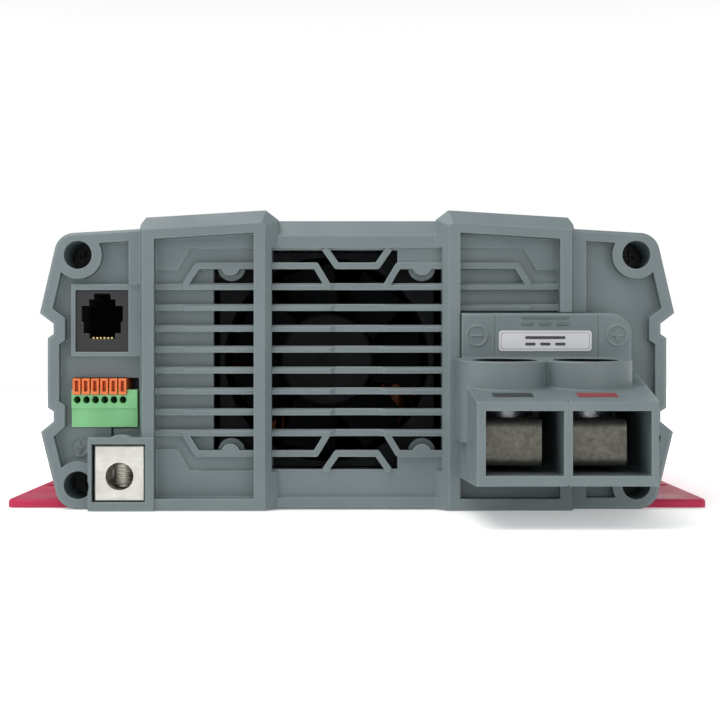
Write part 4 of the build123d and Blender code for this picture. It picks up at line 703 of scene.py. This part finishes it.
@dataclass
class Assembly:
    """A sub-assembly: some CAD nodes with a finish each, and the fine pieces made around them."""

    special: dict[str, Finish] = field(default_factory=dict)
    nodes: tuple[str, ...] = ()

    def dress(self) -> None:
        """Gives each CAD node its finish: a special one, or the one of its material slot."""
        for name in self.nodes:
            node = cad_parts[name]
            slot = node.data.materials[0].name.split(".")[0]
            finish = self.special.get(name) or SLOT_FINISHES[slot]
            node.data.materials.clear()
            node.data.materials.append(finish.material())
            log.info("node %s: %s", name, finish.name)

    def build(self) -> None:
        """Makes the fine pieces; a plain sub-assembly has none."""


@dataclass
class Enclosure(Assembly):
    """The folded tray, the finned shell and the two moulded ends with their screws."""

    nodes: tuple[str, ...] = (
        "base_tray", "case_shell", "dc_end_bezel", "dc_end_screws", "ac_end_bezel",
        "ac_end_screws",
    )


@dataclass
class EarthLug(Assembly):
    """The tinned block that takes the earth wire, and its clamp screw."""

    nodes: tuple[str, ...] = ("earth_lug", "earth_screw")
    bore_low: float = 6.1
    bore_top: float = 13.4
    screw_r: float = 2.9
    pitch: float = 1.0
    thread: float = 0.45
    steps: int = 10
    sides: int = 48
    point_mm: float = 0.6
    point_share: float = 0.75
    web_low: tuple[float, float, float] = (-67.9, -122.4, 19.4)
    web_high: tuple[float, float, float] = (-60.2, -121.2, 22.4)

    def build(self) -> None:
        """Makes the screw's threaded end, run down into the bore, and the web over the lug.

        The thread is a helix cut into a cylinder: at height z and turn a its radius is the crest's
        less the thread's depth times |2 frac(z / pitch - a / 2 pi) - 1|. It narrows to a point over
        the first point_mm.
        """
        centre = middle_mm("earth_screw")
        rows = int((self.bore_top - self.bore_low) / self.pitch * self.steps)
        z = np.linspace(self.bore_low, self.bore_top, rows)[:, None]
        turn = np.linspace(0, 2 * math.pi, self.sides, endpoint=False)[None, :]
        saw = np.abs(2 * np.mod(z / self.pitch - turn / (2 * math.pi), 1.0) - 1)
        tapered = np.clip((z - self.bore_low) / self.point_mm, self.point_share, 1.0)
        radius = (self.screw_r - self.thread * saw) * tapered
        points = np.stack(
            [
                centre[0] + radius * np.cos(turn),
                centre[1] + radius * np.sin(turn),
                np.broadcast_to(z, radius.shape),
            ],
            axis=-1,
        ) * MM
        tip = mesh_object(
            "earth_screw_tip", points, tube_faces(rows, turn.size), TIN_PLATE, CHASSIS
        )
        low, high = np.array(self.web_low), np.array(self.web_high)
        middle, extent = (low + high) / 2, high - low
        web = raised_plate(
            round_rectangle(extent[0], extent[2], 0.3), (middle[0], middle[2]), high[1], low[1], 0.2
        )
        mesh_object("lug_web", *web, GREY_ABS, CHASSIS)


@dataclass
class BatteryTerminals(Assembly):
    """The terminal shroud with its label, symbols, bars, bolts and washers."""

    # The terminal bars take the tin darkened with painted shade.
    special: dict[str, Finish] = field(
        default_factory=lambda: {"negative_terminal": TIN_WITH_PAINTED_SHADE, "positive_terminal": TIN_WITH_PAINTED_SHADE}
    )
    nodes: tuple[str, ...] = (
        "dc_terminal_shroud", "negative_terminal", "positive_terminal", "terminal_bolts",
        "terminal_washers", "terminal_lock_washers", "terminal_nuts", "voltage_label",
        "negative_marker", "positive_marker",
    )
    ink: float = 0.04
    emblem_z: float = 52.0
    emblem_height: float = 0.3
    symbol_width: float = 11.0
    symbol_thick: float = 0.8
    emblem_width: float = 13.0
    border_inset: float = 1.0
    border_corner: float = 0.7
    border_rule: float = 0.18
    # Sizes of the black sleeves of painted shade in the bolt wells.
    liner_out: float = 8.65
    liner_in: float = 8.3
    liner_low: float = 34.0
    liner_sunk: float = 0.08
    rim_z: float = 41.37
    rim_slope: float = 0.039

    def stroke(self, x: float, z: float, width: float, height: float, back: float,
               front: float, bevel: float = 0.01) -> tuple[np.ndarray, list]:
        """Makes one straight printed or raised stroke with rounded ends."""
        shape = round_rectangle(width, height, min(width, height) * 0.45)
        return raised_plate(shape, (x, z), back, front, bevel)

    def direct_current(self, x: float, z: float, width: float, thick: float, back: float,
                       front: float, bevel: float) -> list:
        """Makes the symbol for direct current, one long bar over three short ones, as strokes."""
        gap = thick * 2.2
        dash = width * 0.26
        bars = [(x, z + gap / 2, width)]
        bars += [(x + k * (width - dash) / 2, z - gap / 2, dash) for k in (-1, 0, 1)]
        return [self.stroke(bx, bz, w, thick, back, front, bevel) for bx, bz, w in bars]

    def build(self) -> None:
        """Makes the label's printed border and symbol, and the symbol raised on the shroud."""
        label = "voltage_label"
        centre, low, high = middle_mm(label), low_mm(label), high_mm(label)
        front = low[1]
        width, height = high[0] - low[0], high[2] - low[2]
        outer = round_rectangle(
            width - self.border_inset, height - self.border_inset, self.border_corner
        )
        inner = outer * (1 - self.border_rule / np.abs(outer).max(axis=0))
        rows = [(outer, front + 0.01), (outer, front - self.ink), (inner, front - self.ink),
                (inner, front + 0.01)]
        border = np.stack(
            [
                np.stack([o[:, 0] + centre[0], np.full(len(o), y), o[:, 1] + centre[2]], axis=-1)
                for o, y in rows
            ]
        ) * MM
        faces = grid_faces(len(rows), len(outer), True, True)
        mesh_object("label_border", border, faces, GREY_INK, CHASSIS)
        marks = self.direct_current(
            centre[0], centre[2], self.symbol_width, self.symbol_thick, front + 0.01,
            front - self.ink, 0.01,
        )
        mesh_object("label_symbol", *joined(marks), BLACK_INK, CHASSIS)
        face = front + 0.2
        emblem = self.direct_current(
            centre[0], self.emblem_z, self.emblem_width, self.symbol_thick, face + 0.02,
            face - self.emblem_height, 0.12,
        )
        mesh_object("shroud_emblem", *joined(emblem), GREY_ABS, CHASSIS)
        self.well_shade_sleeves()

    def well_shade_sleeves(self) -> None:
        """Makes a black sleeve of painted shade in each bolt well, its top following the well's
        slanted rim.
        """
        turn = np.linspace(0, 2 * math.pi, 64, endpoint=False)
        middle_y = middle_mm("terminal_nuts")[1]
        for side in ("negative", "positive"):
            middle_x = middle_mm(f"{side}_terminal")[0]
            rows = []
            for radius, at_top in (
                (self.liner_out, False), (self.liner_out, True), (self.liner_in, True),
                (self.liner_in, False),
            ):
                y = middle_y + radius * np.sin(turn)
                rim = self.rim_z + self.rim_slope * (y - middle_y)
                z = rim - self.liner_sunk if at_top else np.full_like(y, self.liner_low)
                rows.append(np.stack([middle_x + radius * np.cos(turn), y, z], axis=-1))
            shade_sleeve = mesh_object(
                f"{side}_well_shade_sleeve", np.stack(rows) * MM,
                grid_faces(len(rows), turn.size, True, True), PAINTED_SHADE_BLACK, CHASSIS,
            )


@dataclass
class SignalSockets(Assembly):
    """The telephone-style remote socket and the six-way spring terminal with its levers."""

    levers: int = 6
    socket_middle_z: float = 53.4
    # Where the black plate of painted shade sits, at the back of the socket.
    socket_shade_back: float = -107.25
    socket_side: tuple[tuple[float, float], ...] = (
        (3.55, -6.25), (3.55, -4.75), (5.15, -4.75), (5.15, -1.6), (5.7, -1.6), (5.7, 2.8),
        (3.65, 2.8), (3.65, 4.6), (2.3, 4.6), (2.3, 6.25),
    )
    nodes: tuple[str, ...] = (
        "remote_jack", "jack_contacts", "terminal_header", "terminal_plug",
    )

    def __post_init__(self) -> None:
        """Adds the lever nodes, which are numbered from 1."""
        self.nodes += tuple(f"wire_release_{n}" for n in range(1, self.levers + 1))

    def build(self) -> None:
        """Makes a black plate of painted shade at the back of the remote socket, to the socket's
        own stepped outline.
        """
        side = np.array(self.socket_side)
        outline = np.concatenate([side, side[::-1] * np.array([-1, 1])])
        points, faces = raised_plate(
            outline, (middle_mm("jack_contacts")[0], self.socket_middle_z), self.socket_shade_back,
            self.socket_shade_back - 0.4, 0.05,
        )
        mesh_object("socket_shade_back", points, faces, PAINTED_SHADE_BLACK, CHASSIS)


@dataclass
class CoolingFan(Assembly):
    """The fan behind the battery-end grille."""

    nodes: tuple[str, ...] = ("fan_frame", "fan_rotor", "fan_screws", "fan_stator")


@dataclass
class MainsEnd(Assembly):
    """The outlets, rocker switch, breaker and lamps on the mains end, and the grille's filter."""

    nodes: tuple[str, ...] = (
        "ac_outlet_lower", "ac_outlet_upper", "breaker_body", "breaker_button", "breaker_nut",
        "fault_lamp", "power_lamp", "power_rocker", "rocker_housing",
    )
    filter_low: tuple[float, float, float] = (-72.0, 139.0, 3.0)
    filter_high: tuple[float, float, float] = (62.0, 142.0, 74.0)

    def build(self) -> None:
        """Makes the foam sheet that stands behind the rear grille."""
        low, high = np.array(self.filter_low), np.array(self.filter_high)
        middle, extent = (low + high) / 2, high - low
        shape = round_rectangle(extent[0], extent[2], 2.0)
        sheet = raised_plate(shape, (middle[0], middle[2]), high[1], low[1], 0.6)
        mesh_object("grille_filter", *sheet, FILTER_FOAM, CHASSIS)


@dataclass
class PowerBoard(Assembly):
    """The circuit board and what stands on it."""

    nodes: tuple[str, ...] = (
        "main_board", "control_card", "board_standoffs", "board_screws", "insulating_sheet",
        "dc_busbars", "busbar_screws", "blade_fuses", "transformer_cores",
        "transformer_windings", "input_capacitors", "bus_capacitors", "heat_spreaders",
        "power_transistors", "choke_core", "choke_winding",
    )
    wire_r: float = 0.95
    choke_turns: int = 30
    choke_steps: int = 28
    choke_arc: float = 0.94
    square_off: float = 0.6

    def build(self) -> None:
        """Makes the choke's winding as one wire carried round the ring core.

        The wire's path goes round the ring once while it goes round the core's section many times:
        the point at turn t is the ring's centre plus (R + a cos nt) outwards and b sin nt upwards,
        with a and b the wound section's half width and half height.
        """
        low, high = low_mm("choke_winding"), high_mm("choke_winding")
        core_low, core_high = low_mm("choke_core"), high_mm("choke_core")
        centre = (low + high) / 2
        outer_r, core_r = (high[0] - low[0]) / 2, (core_high[0] - core_low[0]) / 2
        wall = outer_r - core_r
        half_height = (high[2] - low[2]) / 2 - self.wire_r
        inner_r = core_r * 0.5
        ring_r, half_width = (core_r + inner_r) / 2, (core_r - inner_r) / 2 + wall - self.wire_r
        turn = np.linspace(0, 2 * math.pi * self.choke_arc, self.choke_turns * self.choke_steps)
        wind = turn * self.choke_turns
        out = ring_r + half_width * np.sign(np.cos(wind)) * np.abs(np.cos(wind)) ** self.square_off
        up = half_height * np.sign(np.sin(wind)) * np.abs(np.sin(wind)) ** self.square_off
        path = np.stack(
            [centre[0] + out * np.cos(turn), centre[1] + out * np.sin(turn), centre[2] + up],
            axis=-1,
        )
        winding = mesh_object(
            "choke_wire", *swept_tube(path, self.wire_r, 8), DRAWN_WIRE, CHASSIS, smooth=True
        )
        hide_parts("choke_winding")


# ---------------------------------------------------------------- studio


@dataclass
class Studio:
    """A pale floor, soft light from above and the left, and the level camera."""

    floor_half: float = 1.2
    floor_gap: float = 0.0002
    sky_strength: float = 1.0
    eye_x: float = 0.0004
    eye_z: float = 0.044
    bezel_front: float = -0.129
    eye_ahead: float = 0.390
    lens_mm: float = 71.2
    sensor_mm: float = 36.0
    shift_x: float = 0.0021
    shift_y: float = -0.0139
    lamps: tuple = (
        ("softbox_above", (-0.4, -0.35, 1.1), 0.9, 11.0),
        ("softbox_front", (0.35, -1.25, 0.45), 0.9, 1.6),
        ("softbox_back", (0.5, 1.1, 0.9), 1.0, 6.0),
    )

    def floor(self) -> None:
        """Lays a plain pale floor just under the object."""
        h = self.floor_half
        corners = np.array([(-h, -h), (h, -h), (h, h), (-h, h)])
        points = np.column_stack([corners, np.full(4, CAD_BOX[0].z - self.floor_gap)])
        mesh = bpy.data.meshes.new("floor")
        mesh.from_pydata(points.tolist(), [], [[0, 1, 2, 3]])
        mesh.materials.append(STUDIO_PAPER.material())
        sheet = bpy.data.objects.new("floor", mesh)
        bpy.context.scene.collection.objects.link(sheet)

    def sky(self) -> None:
        """Lights the room evenly: white near the horizon and softer overhead."""
        world = bpy.data.worlds.new("studio_room")
        world.use_nodes = True
        tree = world.node_tree
        tree.nodes.clear()
        upward = add_node(
            tree,
            "ShaderNodeSeparateXYZ",
            {0: add_node(tree, "ShaderNodeTexCoord").outputs["Generated"]},
        ).outputs["Z"]
        level = add_node(
            tree,
            "ShaderNodeMapRange",
            {"Value": upward, "From Min": 0.22, "From Max": 0.45, "To Min": 1.0, "To Max": 0.35},
        ).outputs["Result"]
        background = add_node(
            tree,
            "ShaderNodeBackground",
            {"Color": level, "Strength": self.sky_strength},
        )
        add_node(tree, "ShaderNodeOutputWorld", {"Surface": background.outputs[0]})
        bpy.context.scene.world = world
        bpy.context.scene.view_settings.view_transform = "Standard"

    def lights(self) -> None:
        """Hangs the softboxes, each turned to the middle of the object."""
        target = (CAD_BOX[0] + CAD_BOX[1]) / 2
        for name, place, size, power in self.lamps:
            lamp = bpy.data.lights.new(name, "AREA")
            lamp.size, lamp.energy = size, power
            holder = bpy.data.objects.new(name, lamp)
            bpy.context.scene.collection.objects.link(holder)
            holder.location = place
            holder.rotation_euler = (target - holder.location).to_track_quat("-Z", "Y").to_euler()

    def camera(self) -> None:
        """Sets the camera level in front of the battery end."""
        optics = bpy.data.cameras.new("camera")
        optics.lens, optics.sensor_width = self.lens_mm, self.sensor_mm
        optics.shift_x, optics.shift_y = self.shift_x, self.shift_y
        optics.clip_start = 0.01
        eye = bpy.data.objects.new("camera", optics)
        bpy.context.scene.collection.objects.link(eye)
        eye.location = (self.eye_x, self.bezel_front - self.eye_ahead, self.eye_z)
        eye.rotation_euler = (math.pi / 2, 0.0, 0.0)
        bpy.context.scene.camera = eye

    def build(self) -> None:
        """Makes the floor, the room's light, the softboxes and the camera."""
        self.floor()
        self.sky()
        self.lights()
        self.camera()


def main() -> None:
    """Dresses and builds each sub-assembly in order, then the studio."""
    logging.basicConfig(level=logging.INFO, format="%(message)s")
    assemblies = [
        Enclosure(), EarthLug(), BatteryTerminals(), SignalSockets(), CoolingFan(), MainsEnd(),
        PowerBoard(),
    ]
    for assembly in assemblies:
        log.info("building %s", type(assembly).__name__)
        assembly.dress()
        assembly.build()
    undressed = set(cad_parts) - {n for a in assemblies for n in a.nodes}
    if undressed:
        raise ValueError(f"nodes with no finish: {sorted(undressed)}")
    Studio().build()


if __name__ == "__main__":
    main()
